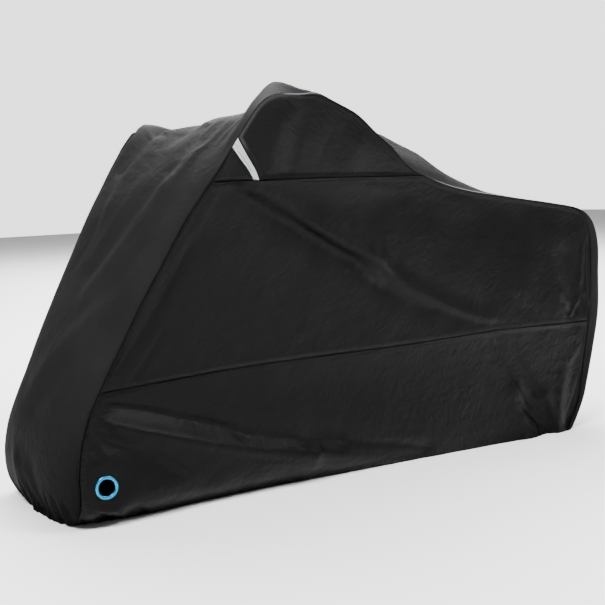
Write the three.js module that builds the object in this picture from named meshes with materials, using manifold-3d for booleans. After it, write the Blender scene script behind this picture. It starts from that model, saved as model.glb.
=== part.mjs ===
// A fitted motorcycle cover, hanging as it does over a parked motorcycle that is left out.
// Millimetres. +X runs to the tail, -Y is the left side, +Z is up, and the hem touches z = 0.
//
// The cover is cut from one long centre strip, two side panels, two skirt panels, two handlebar
// pockets and two small front gussets. Each side also has a sewn reflective strip and a lock ring.
// The pieces are first laid out as one surface without thickness, so that their seams agree.
// That surface is then given the cloth's thickness, and each piece is parted from its neighbours.
import * as THREE from 'three';
import { mergeVertices } from 'three/addons/utils/BufferGeometryUtils.js';
import Module from 'manifold-3d';

const wasm = await Module();
wasm.setup();

// Cloth and seams
const CLOTH = 2;
const SEAM_GAP = 0.34;
const MITRE_LIMIT = 0.6;
const TIP_LIMIT = 3;

// Columns of the centre strip, as shares of its width, and of the gusset. The other counts follow
// from the steps in STRIP_ROWS.
const STRIP_SHARES = [0, 0.05, 0.11, 0.2, 0.3, 0.4, 0.5, 0.6, 0.7, 0.8, 0.89, 0.95, 1];
const STRIP_COLUMNS = STRIP_SHARES.length - 1;
const GUSSET_COLUMNS = 3;

// Lock ring and the flat spot that it is pressed into
const RING = { bore: 24, barrel: 27, flange: 34, plate: 2, crown: 1.2, fit: 0.3, sides: 28 };
const FLAT_SPOT = { inner: 64, outer: 125 };
const RING_COLUMNS = [31, 73, 115];

// Height of the padding that stands up or sinks in beside the seam of the centre strip
const EDGE = { fromSeam: 36, width: 40 };
// Folds fade out over this distance from the seam of the centre strip
const FOLD_FADE = 85;

const COLOURS = { cloth: 0x26272a, strip: 0x2c2d30, reflective: 0xb9bcc0, ring: 0x2f92bd };

// One row for each place where the centre strip was measured, from the front hem over the
// handlebars to the rear hem. steps: grid steps to the next row. x, half, z: the seam with the side
// panels. midX, midZ: the middle of the strip. round: 1 is a tent, 2 an ellipse, 4 nearly a box.
// edge: height beside the seam. farDrop: how much lower the right side hangs.
const STRIP_NAMES = ['name', 'steps', 'x', 'half', 'z', 'midX', 'midZ', 'round', 'edge', 'farDrop'];
const STRIP_ROWS = [
  ['front hem', 1, -1084, 206, 0, -1126, 0, 2.2, 0, 0],
  ['', 1, -1098, 270, 40, -1128, 40, 2.1, 0, 0],
  ['', 1, -1101, 295, 78, -1132, 78, 2.1, 0, 0],
  ['', 1, -1102, 298, 120, -1134, 120, 2.1, 0, 0],
  ['', 1, -1100, 294, 162, -1132, 162, 2.1, 0, 0],
  ['', 1, -1086, 284, 232, -1124, 235, 2.1, 0, 0],
  ['', 1, -1058, 274, 308, -1099, 308, 2.2, 0, 0],
  ['skirt front', 2, -1021, 277, 383, -1064, 383, 2.2, 0, 0],
  ['', 2, -954, 292, 510, -1002, 512, 2.4, 0, 0],
  ['', 2, -884, 309, 639, -926, 640, 2.4, 0, 0],
  ['', 2, -818, 327, 752, -854, 752, 2.4, 0, 0],
  ['', 1, -754, 345, 862, -786, 862, 2.4, 0, 0],
  ['pocket front', 2, -683, 370, 964, -712, 964, 2.4, 0, 0],
  ['', 2, -649, 382, 1015, -670, 1011, 2.6, 0, 0],
  ['band low', 1, -620, 388, 1061, -630, 1050, 2.8, 6, 0],
  ['band high', 1, -604, 393, 1089, -604, 1076, 2.8, 12, 5],
  ['', 1, -569, 405, 1145, -554, 1122, 2.6, 34, 22],
  ['', 1, -534, 419, 1190, -511, 1152, 2.6, 58, 42],
  ['peak', 2, -489, 430, 1212, -459, 1170, 2.6, 80, 80],
  ['', 2, -409, 421, 1215, -364, 1172, 2.6, 60, 82],
  ['', 2, -339, 409, 1217, -264, 1169, 2.6, 44, 70],
  ['', 2, -254, 394, 1191, -159, 1163, 2, 26, 50],
  ['', 2, -161, 371, 1157, -49, 1160, 1.6, 8, 30],
  ['', 2, -67, 345, 1104, 56, 1150, 1.2, -4, 12],
  ['pocket top rear', 2, 22, 320, 1056, 141, 1136, 1, -14, 2],
  ['', 2, 101, 298, 1000, 206, 1118, 1, -20, 0],
  ['pocket rear', 2, 186, 277, 964, 271, 1093, 1, -18, 0],
  ['', 3, 316, 260, 925, 391, 1040, 1, -12, 0],
  ['', 3, 458, 248, 897, 524, 958, 1.1, -6, 0],
  ['', 4, 636, 240, 873, 676, 880, 1.7, 0, 0],
  ['', 3, 836, 236, 845, 861, 848, 2.8, 0, 0],
  ['', 2, 971, 235, 820, 1021, 819, 3.6, 0, 0],
  ['tail', 2, 1021, 237, 783, 1096, 776, 4, 0, 0],
  ['', 1, 1042, 241, 724, 1127, 720, 4, 0, 0],
  ['', 2, 1045, 246, 660, 1136, 656, 4, 0, 0],
  ['', 2, 1036, 253, 570, 1128, 568, 4, 0, 0],
  ['', 2, 1022, 262, 468, 1120, 466, 4, 0, 0],
  ['skirt rear', 1, 1004, 270, 390, 1104, 388, 4, 0, 0],
  ['', 1, 976, 280, 308, 1076, 306, 3.8, 0, 0],
  ['', 1, 948, 290, 232, 1046, 230, 3.6, 0, 0],
  ['', 1, 922, 301, 160, 1012, 158, 3.4, 0, 0],
  ['', 1, 906, 307, 120, 996, 118, 3.2, 0, 0],
  ['', 1, 882, 314, 80, 972, 78, 3, 0, 0],
  ['', 1, 846, 322, 40, 940, 38, 3, 0, 0],
  ['rear hem', 0, 806, 332, 0, 902, 0, 3, 0, 0],
].map((row) => Object.fromEntries(STRIP_NAMES.map((name, column) => [name, row[column]])));

// Seam between side panel and skirt, between its ends on the centre strip
const SKIRT_SEAM = [
  { x: -815, half: 289, z: 394 },
  { x: -585, half: 298, z: 404 },
  { x: -374, half: 303, z: 406 },
  { x: 96, half: 303, z: 403 },
  { x: 518, half: 292, z: 406 },
];
// Seam under the handlebar pocket, between its ends on the centre strip
const POCKET_SEAM = [
  { x: -521, half: 360, z: 965 },
  { x: -361, half: 345, z: 966 },
  { x: -199, half: 330, z: 966 },
  { x: 0, half: 305, z: 965 },
];
// The two edges of the reflective strip, from the pocket seam up to the centre strip
const BAND_FRONT = [
  { x: -541, half: 361, z: 965 },
  { x: -564, half: 372, z: 998 },
  { x: -593, half: 382, z: 1030 },
];
const BAND_REAR = [
  { x: -521, half: 360, z: 965 },
  { x: -540, half: 372, z: 997 },
  { x: -570, half: 385, z: 1038 },
];
// Hem of the skirt, between its ends on the centre strip
const HEM = [
  { x: -1007, half: 222 },
  { x: -896, half: 241 },
  { x: -704, half: 236 },
  { x: -504, half: 234 },
  { x: -184, half: 258 },
  { x: 123, half: 285 },
  { x: 399, half: 303 },
  { x: 727, half: 332 },
];

// Folds in the sides, seen from the side: a crest line from x1, z1 to x2, z2, the distance over
// which it dies away, and its height out of the cloth. A negative height is a trough.
const LEFT_FOLDS = [
  { x1: -554, z1: 945, x2: -44, z2: 700, width: 62, height: 17 },
  { x1: -594, z1: 940, x2: -164, z2: 700, width: 46, height: -13 },
  { x1: 26, z1: 620, x2: 436, z2: 500, width: 70, height: -7 },
  { x1: -704, z1: 930, x2: -1014, z2: 420, width: 60, height: -8 },
  { x1: -994, z1: 345, x2: -749, z2: 285, width: 38, height: -15 },
  { x1: -749, z1: 285, x2: -543, z2: 196, width: 36, height: -14 },
  { x1: -543, z1: 196, x2: -217, z2: 132, width: 36, height: -13 },
  { x1: -964, z1: 300, x2: -675, z2: 206, width: 40, height: 15 },
  { x1: -675, z1: 206, x2: -320, z2: 100, width: 44, height: 15 },
  { x1: -881, z1: 196, x2: -704, z2: 90, width: 42, height: -10 },
  { x1: -299, z1: 142, x2: 143, z2: 36, width: 40, height: -9 },
  { x1: 626, z1: 20, x2: 576, z2: 170, width: 46, height: 9 },
  { x1: 719, z1: 5, x2: 636, z2: 120, width: 36, height: -13 },
  { x1: 781, z1: 5, x2: 716, z2: 130, width: 34, height: 12 },
  { x1: 716, z1: 40, x2: 496, z2: 370, width: 60, height: -7 },
  { x1: 841, z1: 60, x2: 906, z2: 212, width: 34, height: -8 },
  { x1: 896, z1: 640, x2: 936, z2: 420, width: 44, height: -8 },
  { x1: 816, z1: 700, x2: 866, z2: 480, width: 60, height: 8 },
  { x1: -484, z1: 1000, x2: -459, z2: 1130, width: 34, height: 7 },
  { x1: -404, z1: 990, x2: -384, z2: 1120, width: 34, height: -6 },
  { x1: -164, z1: 1010, x2: -124, z2: 1090, width: 60, height: 8 },
];
const RIGHT_FOLDS = [
  { x1: -584, z1: 930, x2: -184, z2: 640, width: 64, height: 16 },
  { x1: -484, z1: 900, x2: -4, z2: 730, width: 50, height: -12 },
  { x1: 86, z1: 700, x2: 496, z2: 480, width: 72, height: 8 },
  { x1: -724, z1: 900, x2: -994, z2: 430, width: 60, height: -9 },
  { x1: -964, z1: 330, x2: -624, z2: 250, width: 40, height: -13 },
  { x1: -624, z1: 250, x2: -244, z2: 90, width: 42, height: -12 },
  { x1: -924, z1: 255, x2: -484, z2: 130, width: 44, height: 14 },
  { x1: -144, z1: 180, x2: 236, z2: 60, width: 46, height: -10 },
  { x1: 576, z1: 20, x2: 496, z2: 240, width: 50, height: 9 },
  { x1: 696, z1: 5, x2: 626, z2: 150, width: 38, height: -12 },
  { x1: 786, z1: 5, x2: 736, z2: 150, width: 34, height: 11 },
  { x1: 876, z1: 650, x2: 916, z2: 400, width: 48, height: -8 },
  { x1: 756, z1: 720, x2: 796, z2: 500, width: 64, height: 7 },
  { x1: -464, z1: 1000, x2: -444, z2: 1090, width: 36, height: 6 },
  { x1: -184, z1: 1000, x2: -104, z2: 1080, width: 60, height: 7 },
];
// Folds in the centre strip: along is the length from the front hem, measured on its middle line.
const STRIP_FOLDS = [
  { along1: 1185, y1: -180, along2: 1055, y2: -165, width: 42, height: 9 },
  { along1: 1055, y1: -165, along2: 690, y2: -10, width: 46, height: 11 },
  { along1: 1120, y1: -90, along2: 760, y2: 60, width: 50, height: -9 },
  { along1: 860, y1: -170, along2: 700, y2: -75, width: 40, height: -7 },
  { along1: 640, y1: -140, along2: 400, y2: 100, width: 46, height: 9 },
  { along1: 560, y1: -150, along2: 330, y2: 40, width: 44, height: -8 },
  { along1: 1330, y1: 300, along2: 1150, y2: 265, width: 40, height: -12 },
  { along1: 1330, y1: 200, along2: 1000, y2: 150, width: 50, height: 9 },
  { along1: 130, y1: 0, along2: 20, y2: -40, width: 40, height: -7 },
  { along1: 150, y1: 130, along2: 20, y2: 110, width: 36, height: 7 },
  { along1: 1500, y1: -120, along2: 1700, y2: 60, width: 60, height: -8 },
  { along1: 1480, y1: 160, along2: 1800, y2: 40, width: 60, height: 8 },
  { along1: 2640, y1: -120, along2: 2850, y2: 100, width: 50, height: -6 },
  { along1: 2760, y1: 130, along2: 2950, y2: -60, width: 46, height: 5 },
  { along1: 3120, y1: -110, along2: 3420, y2: 60, width: 60, height: -8 },
  { along1: 3500, y1: 120, along2: 3850, y2: 60, width: 50, height: -8 },
  { along1: 3560, y1: -60, along2: 3850, y2: -100, width: 46, height: 8 },
];

const point = (x, y, z) => new THREE.Vector3(x, y, z);
const fade = (value, from, to) => THREE.MathUtils.smoothstep(value, from, to);

// The value at a place between two rows, on a smooth curve through the rows (Catmull-Rom).
function smoothValue(rows, key, index, t) {
  const at = (k) => rows[THREE.MathUtils.clamp(k, 0, rows.length - 1)][key];
  const [a, b, c, d] = [at(index - 1), at(index), at(index + 1), at(index + 2)];
  const slopeB = (c - a) / 2;
  const slopeC = (d - b) / 2;
  const t2 = t * t;
  const t3 = t2 * t;
  const slopes = slopeB * (t3 - 2 * t2 + t) + slopeC * (t3 - t2);
  return b * (2 * t3 - 3 * t2 + 1) + c * (3 * t2 - 2 * t3) + slopes;
}

// The table of the centre strip, filled in with the steps between its rows.
function fineRows() {
  const keys = ['x', 'half', 'z', 'midX', 'midZ', 'round', 'edge', 'farDrop'];
  const fine = [];
  STRIP_ROWS.forEach((row, index) => {
    const count = Math.max(row.steps, 1);
    for (let step = 0; step < count; step += 1) {
      const sample = { name: step === 0 ? row.name : '' };
      keys.forEach((key) => {
        sample[key] = smoothValue(STRIP_ROWS, key, index, step / count);
      });
      fine.push(sample);
    }
  });
  let along = 0;
  fine.forEach((row, index) => {
    if (index > 0) {
      along += Math.hypot(row.midX - fine[index - 1].midX, row.midZ - fine[index - 1].midZ);
    }
    row.along = along;
  });
  return fine;
}

// A point of the centre strip without folds. turn runs from -1 at the left seam to 1 at the right.
function stripPoint(row, turn) {
  const angle = (turn * Math.PI) / 2;
  const power = 2 / Math.max(row.round, 1);
  const across = Math.sign(turn) * Math.abs(Math.sin(angle)) ** power;
  const out = Math.abs(turn) === 1 ? 0 : Math.cos(angle) ** power;
  const y = row.half * across;
  const fromSeam = row.half - Math.abs(y);
  const bell = Math.exp(-(((fromSeam - EDGE.fromSeam) / EDGE.width) ** 2));
  const lump = row.edge * bell * fade(fromSeam, 0, EDGE.fromSeam);
  const drop = row.farDrop * fade(y, 0, row.half);
  return point(
    row.x + (row.midX - row.x) * out,
    y,
    row.z + (row.midZ - row.z) * out + lump - drop,
  );
}

// The points of one row of the centre strip, from the left seam to the right.
function stripRow(row) {
  const dense = [];
  const denseCount = 240;
  for (let k = 0; k <= denseCount; k += 1) {
    dense.push(stripPoint(row, (2 * k) / denseCount - 1));
  }
  return pointsAt(dense, STRIP_SHARES);
}

// count + 1 points at equal distances along a chain of points.
function evenPoints(chain, count) {
  return pointsAt(chain, Array.from({ length: count + 1 }, (_, k) => k / count));
}

// Points at given shares of the length of a chain of points. The ends are kept exactly.
function pointsAt(chain, shares) {
  const lengths = [0];
  for (let k = 1; k < chain.length; k += 1) {
    lengths.push(lengths[k - 1] + chain[k].distanceTo(chain[k - 1]));
  }
  const total = lengths[lengths.length - 1];
  return shares.map((share) => {
    if (share <= 0) {
      return chain[0].clone();
    }
    if (share >= 1) {
      return chain[chain.length - 1].clone();
    }
    const want = share * total;
    const k = Math.max(lengths.findIndex((length) => length >= want), 1);
    const part = (want - lengths[k - 1]) / (lengths[k] - lengths[k - 1]);
    return chain[k - 1].clone().lerp(chain[k], part);
  });
}

// A smooth chain of points from one seam point over the rows of a table to another.
function seamChain(start, rows, end, side) {
  const through = [start, ...rows.map((row) => point(row.x, side * row.half, row.z ?? 0)), end];
  const chain = new THREE.CatmullRomCurve3(through, false, 'centripetal').getPoints(300);
  chain[0].copy(start);
  chain[chain.length - 1].copy(end);
  return chain;
}

// Shares of a chain's length for the skirt's columns: close together around the lock ring.
function skirtShares(chain, columns) {
  const total = chain.slice(1).reduce((sum, p, k) => sum + p.distanceTo(chain[k]), 0);
  const shares = [0, ...RING_COLUMNS.map((distance) => distance / total)];
  const first = shares[shares.length - 1];
  const left = columns - RING_COLUMNS.length;
  for (let k = 1; k <= left; k += 1) {
    shares.push(first + ((1 - first) * k) / left);
  }
  return shares;
}

// A grid between four edges (a Coons patch). Rows run along bottom and top, columns up left and right.
// Its rim keeps the points of the edges exactly, because neighbours share them.
function patch(bottom, top, left, right) {
  const share = (chain) => {
    const lengths = [0];
    for (let k = 1; k < chain.length; k += 1) {
      lengths.push(lengths[k - 1] + chain[k].distanceTo(chain[k - 1]));
    }
    const total = lengths[lengths.length - 1];
    return lengths.map((length, k) => (total > 0 ? length / total : k / (chain.length - 1)));
  };
  const [sBottom, sTop, tLeft, tRight] = [bottom, top, left, right].map(share);
  const last = bottom.length - 1;
  const end = left.length - 1;
  return left.map((leftPoint, j) => bottom.map((bottomPoint, i) => {
    if (j === 0 || j === end) {
      return (j === 0 ? bottom : top)[i];
    }
    if (i === 0 || i === last) {
      return (i === 0 ? left : right)[j];
    }
    const s = (sBottom[i] + sTop[i]) / 2;
    const t = (tLeft[j] + tRight[j]) / 2;
    const p = point(0, 0, 0);
    p.addScaledVector(bottomPoint, 1 - t).addScaledVector(top[i], t);
    p.addScaledVector(leftPoint, 1 - s).addScaledVector(right[j], s);
    p.addScaledVector(bottom[0], -(1 - s) * (1 - t)).addScaledVector(bottom[last], -s * (1 - t));
    p.addScaledVector(left[end], -(1 - s) * t).addScaledVector(right[end], -s * t);
    return p;
  }));
}

// Distance in a plane from (a, b) to the line from (a1, b1) to (a2, b2).
function lineDistance(a, b, a1, b1, a2, b2) {
  const length2 = (a2 - a1) ** 2 + (b2 - b1) ** 2;
  const t = THREE.MathUtils.clamp(((a - a1) * (a2 - a1) + (b - b1) * (b2 - b1)) / length2, 0, 1);
  return Math.hypot(a - a1 - t * (a2 - a1), b - b1 - t * (b2 - b1));
}

const foldHeight = (fold, distance) => fold.height * Math.exp(-((distance / fold.width) ** 2));

// The folds of the centre strip: each point moves along the strip's own outward direction.
function foldStrip(grid, rows) {
  const lastRow = grid.length - 1;
  return grid.map((line, j) => line.map((p, i) => {
    if (i === 0 || i === STRIP_COLUMNS) {
      return p.clone();
    }
    const along = grid[Math.min(j + 1, lastRow)][i].clone().sub(grid[Math.max(j - 1, 0)][i]);
    const across = line[i + 1].clone().sub(line[i - 1]);
    const out = along.cross(across).normalize();
    const height = STRIP_FOLDS.reduce((sum, fold) => sum + foldHeight(
      fold,
      lineDistance(rows[j].along, p.y, fold.along1, fold.y1, fold.along2, fold.y2),
    ), 0);
    const moved = p.clone().addScaledVector(out, height * fade(rows[j].half - Math.abs(p.y), 0, FOLD_FADE));
    moved.z = j === 0 || j === lastRow ? p.z : Math.max(moved.z, p.z / 2);
    return moved;
  }));
}

// The flat spot under a lock ring: its middle and the direction out of the cloth.
function ringPlane(grid, side) {
  const column = 2;
  const row = 3;
  const middle = grid[row][column];
  const along = grid[row][column + 1].clone().sub(grid[row][column - 1]);
  const up = grid[row + 1][column].clone().sub(grid[row - 1][column]);
  const out = up.cross(along).normalize();
  if (Math.sign(out.y) !== side) {
    out.negate();
  }
  return { middle: middle.clone(), out };
}

// The folds of one side, and the flat spot around its lock ring.
function foldSide(grid, side, folds, seam, plane) {
  return grid.map((line) => line.map((p) => {
    const fromSeam = Math.min(...seam.map((q) => Math.hypot(p.x - q.x, p.z - q.z)));
    const free = fade(fromSeam, 1, FOLD_FADE);
    const height = folds.reduce((sum, fold) => sum + foldHeight(
      fold,
      lineDistance(p.x, p.z, fold.x1, fold.z1, fold.x2, fold.z2),
    ), 0);
    const moved = point(p.x, p.y + side * height * free, p.z);
    const atEdge = fromSeam < 1 || p.z < 1;
    const away = p.distanceTo(plane.middle);
    const flat = atEdge ? 0 : 1 - fade(away, FLAT_SPOT.inner, FLAT_SPOT.outer);
    const above = moved.clone().sub(plane.middle).dot(plane.out);
    return moved.addScaledVector(plane.out, -above * flat);
  }));
}

// The five pieces of one side as grids, with the plane of the lock ring.
function sideGrids(side, rows, stripGrid) {
  const seam = stripGrid.map((line) => (side < 0 ? line[0] : line[STRIP_COLUMNS]));
  const index = (name) => rows.findIndex((row) => row.name === name);
  const part = (from, to) => seam.slice(index(from), index(to) + 1);
  const backwards = (from, to) => part(from, to).reverse();
  const corner = (name) => seam[index(name)];
  const [hemFront, skirtFront] = [corner('front hem'), corner('skirt front')];
  const [hemRear, skirtRear] = [corner('rear hem'), corner('skirt rear')];
  const [pocketFront, pocketRear] = [corner('pocket front'), corner('pocket rear')];
  const bandLow = seam[index('band low')];
  const bandHigh = seam[index('band high')];

  const pocketTop = part('band high', 'pocket top rear');
  const pocketColumns = pocketTop.length - 1;
  const tailTop = part('pocket rear', 'tail');
  const columns = GUSSET_COLUMNS + 1 + pocketColumns + tailTop.length - 1;

  const bandRise = part('pocket front', 'band low').length - 1;
  const frontFoot = point(BAND_FRONT[0].x, side * BAND_FRONT[0].half, BAND_FRONT[0].z);
  const rearFoot = point(BAND_REAR[0].x, side * BAND_REAR[0].half, BAND_REAR[0].z);
  const bandFront = evenPoints(seamChain(frontFoot, BAND_FRONT.slice(1), bandLow, side), bandRise);
  const bandRear = evenPoints(seamChain(rearFoot, BAND_REAR.slice(1), bandHigh, side), bandRise);

  const gussetFoot = evenPoints([pocketFront, frontFoot], GUSSET_COLUMNS);
  const pocketFoot = evenPoints(seamChain(rearFoot, POCKET_SEAM.slice(1), pocketRear, side), pocketColumns);
  const sideTop = [...gussetFoot, ...pocketFoot, ...tailTop.slice(1)];

  const skirtChain = seamChain(skirtFront, SKIRT_SEAM, skirtRear, side);
  const skirtTop = pointsAt(skirtChain, skirtShares(skirtChain, columns));
  const hemChain = seamChain(hemFront, HEM, hemRear, side);
  const hem = pointsAt(hemChain, skirtShares(hemChain, columns));

  // The gusset runs out in a tip, so its upper edge is one point.
  const gussetLid = Array.from({ length: GUSSET_COLUMNS + 1 }, () => bandLow);

  const grids = {
    skirt_panel: patch(
      hem, skirtTop, part('front hem', 'skirt front'), backwards('skirt rear', 'rear hem'),
    ),
    side_panel: patch(
      skirtTop, sideTop, part('skirt front', 'pocket front'), backwards('tail', 'skirt rear'),
    ),
    handlebar_pocket: patch(pocketFoot, pocketTop, bandRear, backwards('pocket top rear', 'pocket rear')),
    front_gusset: patch(gussetFoot, gussetLid, part('pocket front', 'band low'), bandFront),
    reflective_strip: patch([frontFoot, rearFoot], [bandLow, bandHigh], bandFront, bandRear),
  };
  const plane = ringPlane(grids.skirt_panel, side);
  const folds = side < 0 ? LEFT_FOLDS : RIGHT_FOLDS;
  Object.keys(grids).forEach((name) => {
    grids[name] = foldSide(grids[name], side, folds, seam, plane);
  });
  return { grids, plane };
}

// The triangles of a grid, cut along the shorter diagonal of each cell. turned: the grid's rows and
// columns wind the other way, so its faces are turned round to look out of the cloth.
function trianglesOf(grid, turned) {
  const triangles = [];
  for (let j = 0; j < grid.length - 1; j += 1) {
    for (let i = 0; i < grid[j].length - 1; i += 1) {
      const [a, b, c, d] = [grid[j][i], grid[j][i + 1], grid[j + 1][i + 1], grid[j + 1][i]];
      const halves = a.distanceTo(c) <= b.distanceTo(d) ? [[a, b, c], [a, c, d]] : [[a, b, d], [b, c, d]];
      triangles.push(...halves.map((half) => (turned ? half.reverse() : half)));
    }
  }
  return triangles;
}

// All pieces as triangles on one list of shared points, so that neighbours agree along their seams.
function weld(pieces) {
  const index = new Map();
  const points = [];
  const number = (p) => {
    const key = [p.x, p.y, p.z].map((value) => Math.round(value * 100)).join();
    if (!index.has(key)) {
      index.set(key, points.length);
      points.push(p);
    }
    return index.get(key);
  };
  const welded = pieces.map((piece) => ({
    name: piece.name,
    faces: trianglesOf(piece.grid, piece.turned)
      .map((corners) => corners.map(number))
      .filter(([a, b, c]) => a !== b && b !== c && c !== a),
  }));
  return { points, welded };
}

// For each shared point, the way from the cloth's outer face to its inner face at full thickness.
function inwardSteps(points, welded) {
  const sums = points.map(() => point(0, 0, 0));
  const normals = points.map(() => []);
  welded.forEach(({ faces }) => faces.forEach((face) => {
    const [a, b, c] = face.map((k) => points[k]);
    const normal = b.clone().sub(a).cross(c.clone().sub(a)).normalize();
    face.forEach((k, corner) => {
      const here = points[k];
      const next = points[face[(corner + 1) % 3]].clone().sub(here);
      const before = points[face[(corner + 2) % 3]].clone().sub(here);
      const angle = next.angleTo(before);
      sums[k].addScaledVector(normal, angle);
      normals[k].push({ normal, angle });
    });
  }));
  return sums.map((sum, k) => {
    const out = sum.clone().normalize();
    const whole = normals[k].reduce((total, entry) => total + entry.angle, 0);
    const along = normals[k].reduce((total, { normal, angle }) => total + normal.dot(out) * angle, 0);
    const facing = along / whole;
    return { out, depth: CLOTH / Math.max(facing, MITRE_LIMIT) };
  });
}

// The seam edges of one piece: each directed edge that no other face of the piece shares.
function rimEdges(faces) {
  const edges = new Map();
  faces.forEach((face) => face.forEach((a, corner) => {
    edges.set(`${a},${face[(corner + 1) % 3]}`, [a, face[(corner + 1) % 3]]);
  }));
  return [...edges.values()].filter(([a, b]) => !edges.has(`${b},${a}`));
}

// How far each seam point of a piece is drawn in, so that pieces stay apart by SEAM_GAP.
function seamShifts(rim, points, steps) {
  const inward = new Map();
  rim.forEach(([a, b]) => {
    const along = points[b].clone().sub(points[a]).normalize();
    [a, b].forEach((k) => {
      const way = steps[k].out.clone().cross(along).normalize();
      inward.set(k, [...(inward.get(k) ?? []), way]);
    });
  });
  const shifts = new Map();
  inward.forEach(([first, second], k) => {
    const shift = first.clone().add(second).multiplyScalar(SEAM_GAP / 2 / (1 + first.dot(second)));
    shifts.set(k, shift.clampLength(0, TIP_LIMIT));
  });
  return shifts;
}

// One piece of cloth as a closed solid: outer face, inner face and a wall around its rim.
function clothGeometry(faces, points, steps) {
  const rim = rimEdges(faces);
  const shifts = seamShifts(rim, points, steps);
  const used = [...new Set(faces.flat())];
  const place = new Map(used.map((k, order) => [k, order]));
  const positions = new Float32Array(used.length * 6);
  used.forEach((k, order) => {
    const outer = points[k].clone().add(shifts.get(k) ?? point(0, 0, 0));
    const inner = outer.clone().addScaledVector(steps[k].out, -steps[k].depth);
    outer.toArray(positions, order * 3);
    inner.toArray(positions, (order + used.length) * 3);
  });
  const outer = (k) => place.get(k);
  const inner = (k) => place.get(k) + used.length;
  const triangles = [];
  faces.forEach(([a, b, c]) => {
    triangles.push(outer(a), outer(b), outer(c), inner(c), inner(b), inner(a));
  });
  // Neighbours cut the wall of their seam along the same diagonal, so that their walls match.
  rim.forEach(([a, b]) => {
    const diagonal = a < b
      ? [outer(b), outer(a), inner(b), outer(a), inner(a), inner(b)]
      : [outer(b), outer(a), inner(a), outer(b), inner(a), inner(b)];
    triangles.push(...diagonal);
  });
  const geometry = new THREE.BufferGeometry();
  geometry.setAttribute('position', new THREE.BufferAttribute(positions, 3));
  geometry.setIndex(triangles);
  return geometry;
}

// A closed geometry as a solid for joining and cutting.
function solidOf(geometry) {
  const bare = geometry.clone();
  bare.deleteAttribute('normal');
  bare.deleteAttribute('uv');
  const merged = mergeVertices(bare, 1e-4);
  return new wasm.Manifold(new wasm.Mesh({
    numProp: 3,
    vertProperties: new Float32Array(merged.attributes.position.array),
    triVerts: new Uint32Array(merged.index.array),
  }));
}

// A cut solid as a geometry again.
function geometryOf(solid) {
  const mesh = solid.getMesh();
  const geometry = new THREE.BufferGeometry();
  geometry.setAttribute('position', new THREE.BufferAttribute(new Float32Array(mesh.vertProperties), 3));
  geometry.setIndex([...mesh.triVerts]);
  return geometry;
}

// The turn that lays a shape's Y axis along the way out of the cloth at a lock ring.
const ringTurn = (plane) => new THREE.Quaternion().setFromUnitVectors(point(0, 1, 0), plane.out);

// The skirt with the round hole that its lock ring is pressed through.
function cutRingHole(geometry, plane) {
  const radius = RING.barrel + RING.fit;
  const drill = new THREE.CylinderGeometry(radius, radius, 12 * CLOTH, RING.sides);
  drill.applyQuaternion(ringTurn(plane));
  drill.translate(plane.middle.x, plane.middle.y, plane.middle.z);
  return geometryOf(solidOf(geometry).subtract(solidOf(drill)));
}

// Lock ring: two flanges joined by a barrel, with the cloth between them. Height 0 is the outer face.
function ringGeometry() {
  const { bore, barrel, flange, plate, crown, fit } = RING;
  const front = fit + plate;
  const back = -CLOTH - fit;
  const profile = [
    [bore, back - plate],
    [flange, back - plate],
    [flange, back],
    [barrel, back],
    [barrel, fit],
    [flange, fit],
    [flange, front - crown],
    [(barrel + flange) / 2, front + crown],
    [(bore + barrel) / 2, front + crown],
    [bore, front - crown],
    [bore, back - plate],
  ];
  const outline = profile.map(([radius, height]) => new THREE.Vector2(radius, height));
  return new THREE.LatheGeometry(outline, RING.sides);
}

function material(color, roughness, metalness) {
  return new THREE.MeshStandardMaterial({ color, roughness, metalness });
}

function addMesh(group, name, geometry, look) {
  const shown = geometry.clone();
  shown.computeVertexNormals();
  const mesh = new THREE.Mesh(shown, look);
  mesh.name = name;
  group.add(mesh);
  return mesh;
}

const looks = {
  centre_strip: material(COLOURS.strip, 0.6, 0),
  reflective_strip: material(COLOURS.reflective, 0.35, 0.3),
  cloth: material(COLOURS.cloth, 0.62, 0),
  ring: material(COLOURS.ring, 0.32, 0.9),
};

const rows = fineRows();
const bareStrip = rows.map(stripRow);
const sides = [
  { word: 'left', side: -1 },
  { word: 'right', side: 1 },
].map(({ word, side }) => ({ word, side, ...sideGrids(side, rows, bareStrip) }));

const pieces = [
  { name: 'centre_strip', grid: foldStrip(bareStrip, rows), turned: true },
  ...sides.flatMap(({ word, side, grids }) => Object.entries(grids).map(([name, grid]) => ({
    name: `${name}_${word}`,
    grid,
    turned: side > 0,
  }))),
];
const { points, welded } = weld(pieces);
const steps = inwardSteps(points, welded);

const cover = new THREE.Group();
cover.name = 'motorcycle_cover';
welded.forEach(({ name, faces }) => {
  let geometry = clothGeometry(faces, points, steps);
  const owner = sides.find(({ word }) => name === `skirt_panel_${word}`);
  if (owner) {
    geometry = cutRingHole(geometry, owner.plane);
  }
  const kind = Object.keys(looks).find((key) => name.startsWith(key)) ?? 'cloth';
  addMesh(cover, name, geometry, looks[kind]);
});
sides.forEach(({ word, plane }) => {
  const ring = addMesh(cover, `lock_ring_${word}`, ringGeometry(), looks.ring);
  ring.quaternion.copy(ringTurn(plane));
  ring.position.copy(plane.middle);
});

export default cover;
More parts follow.
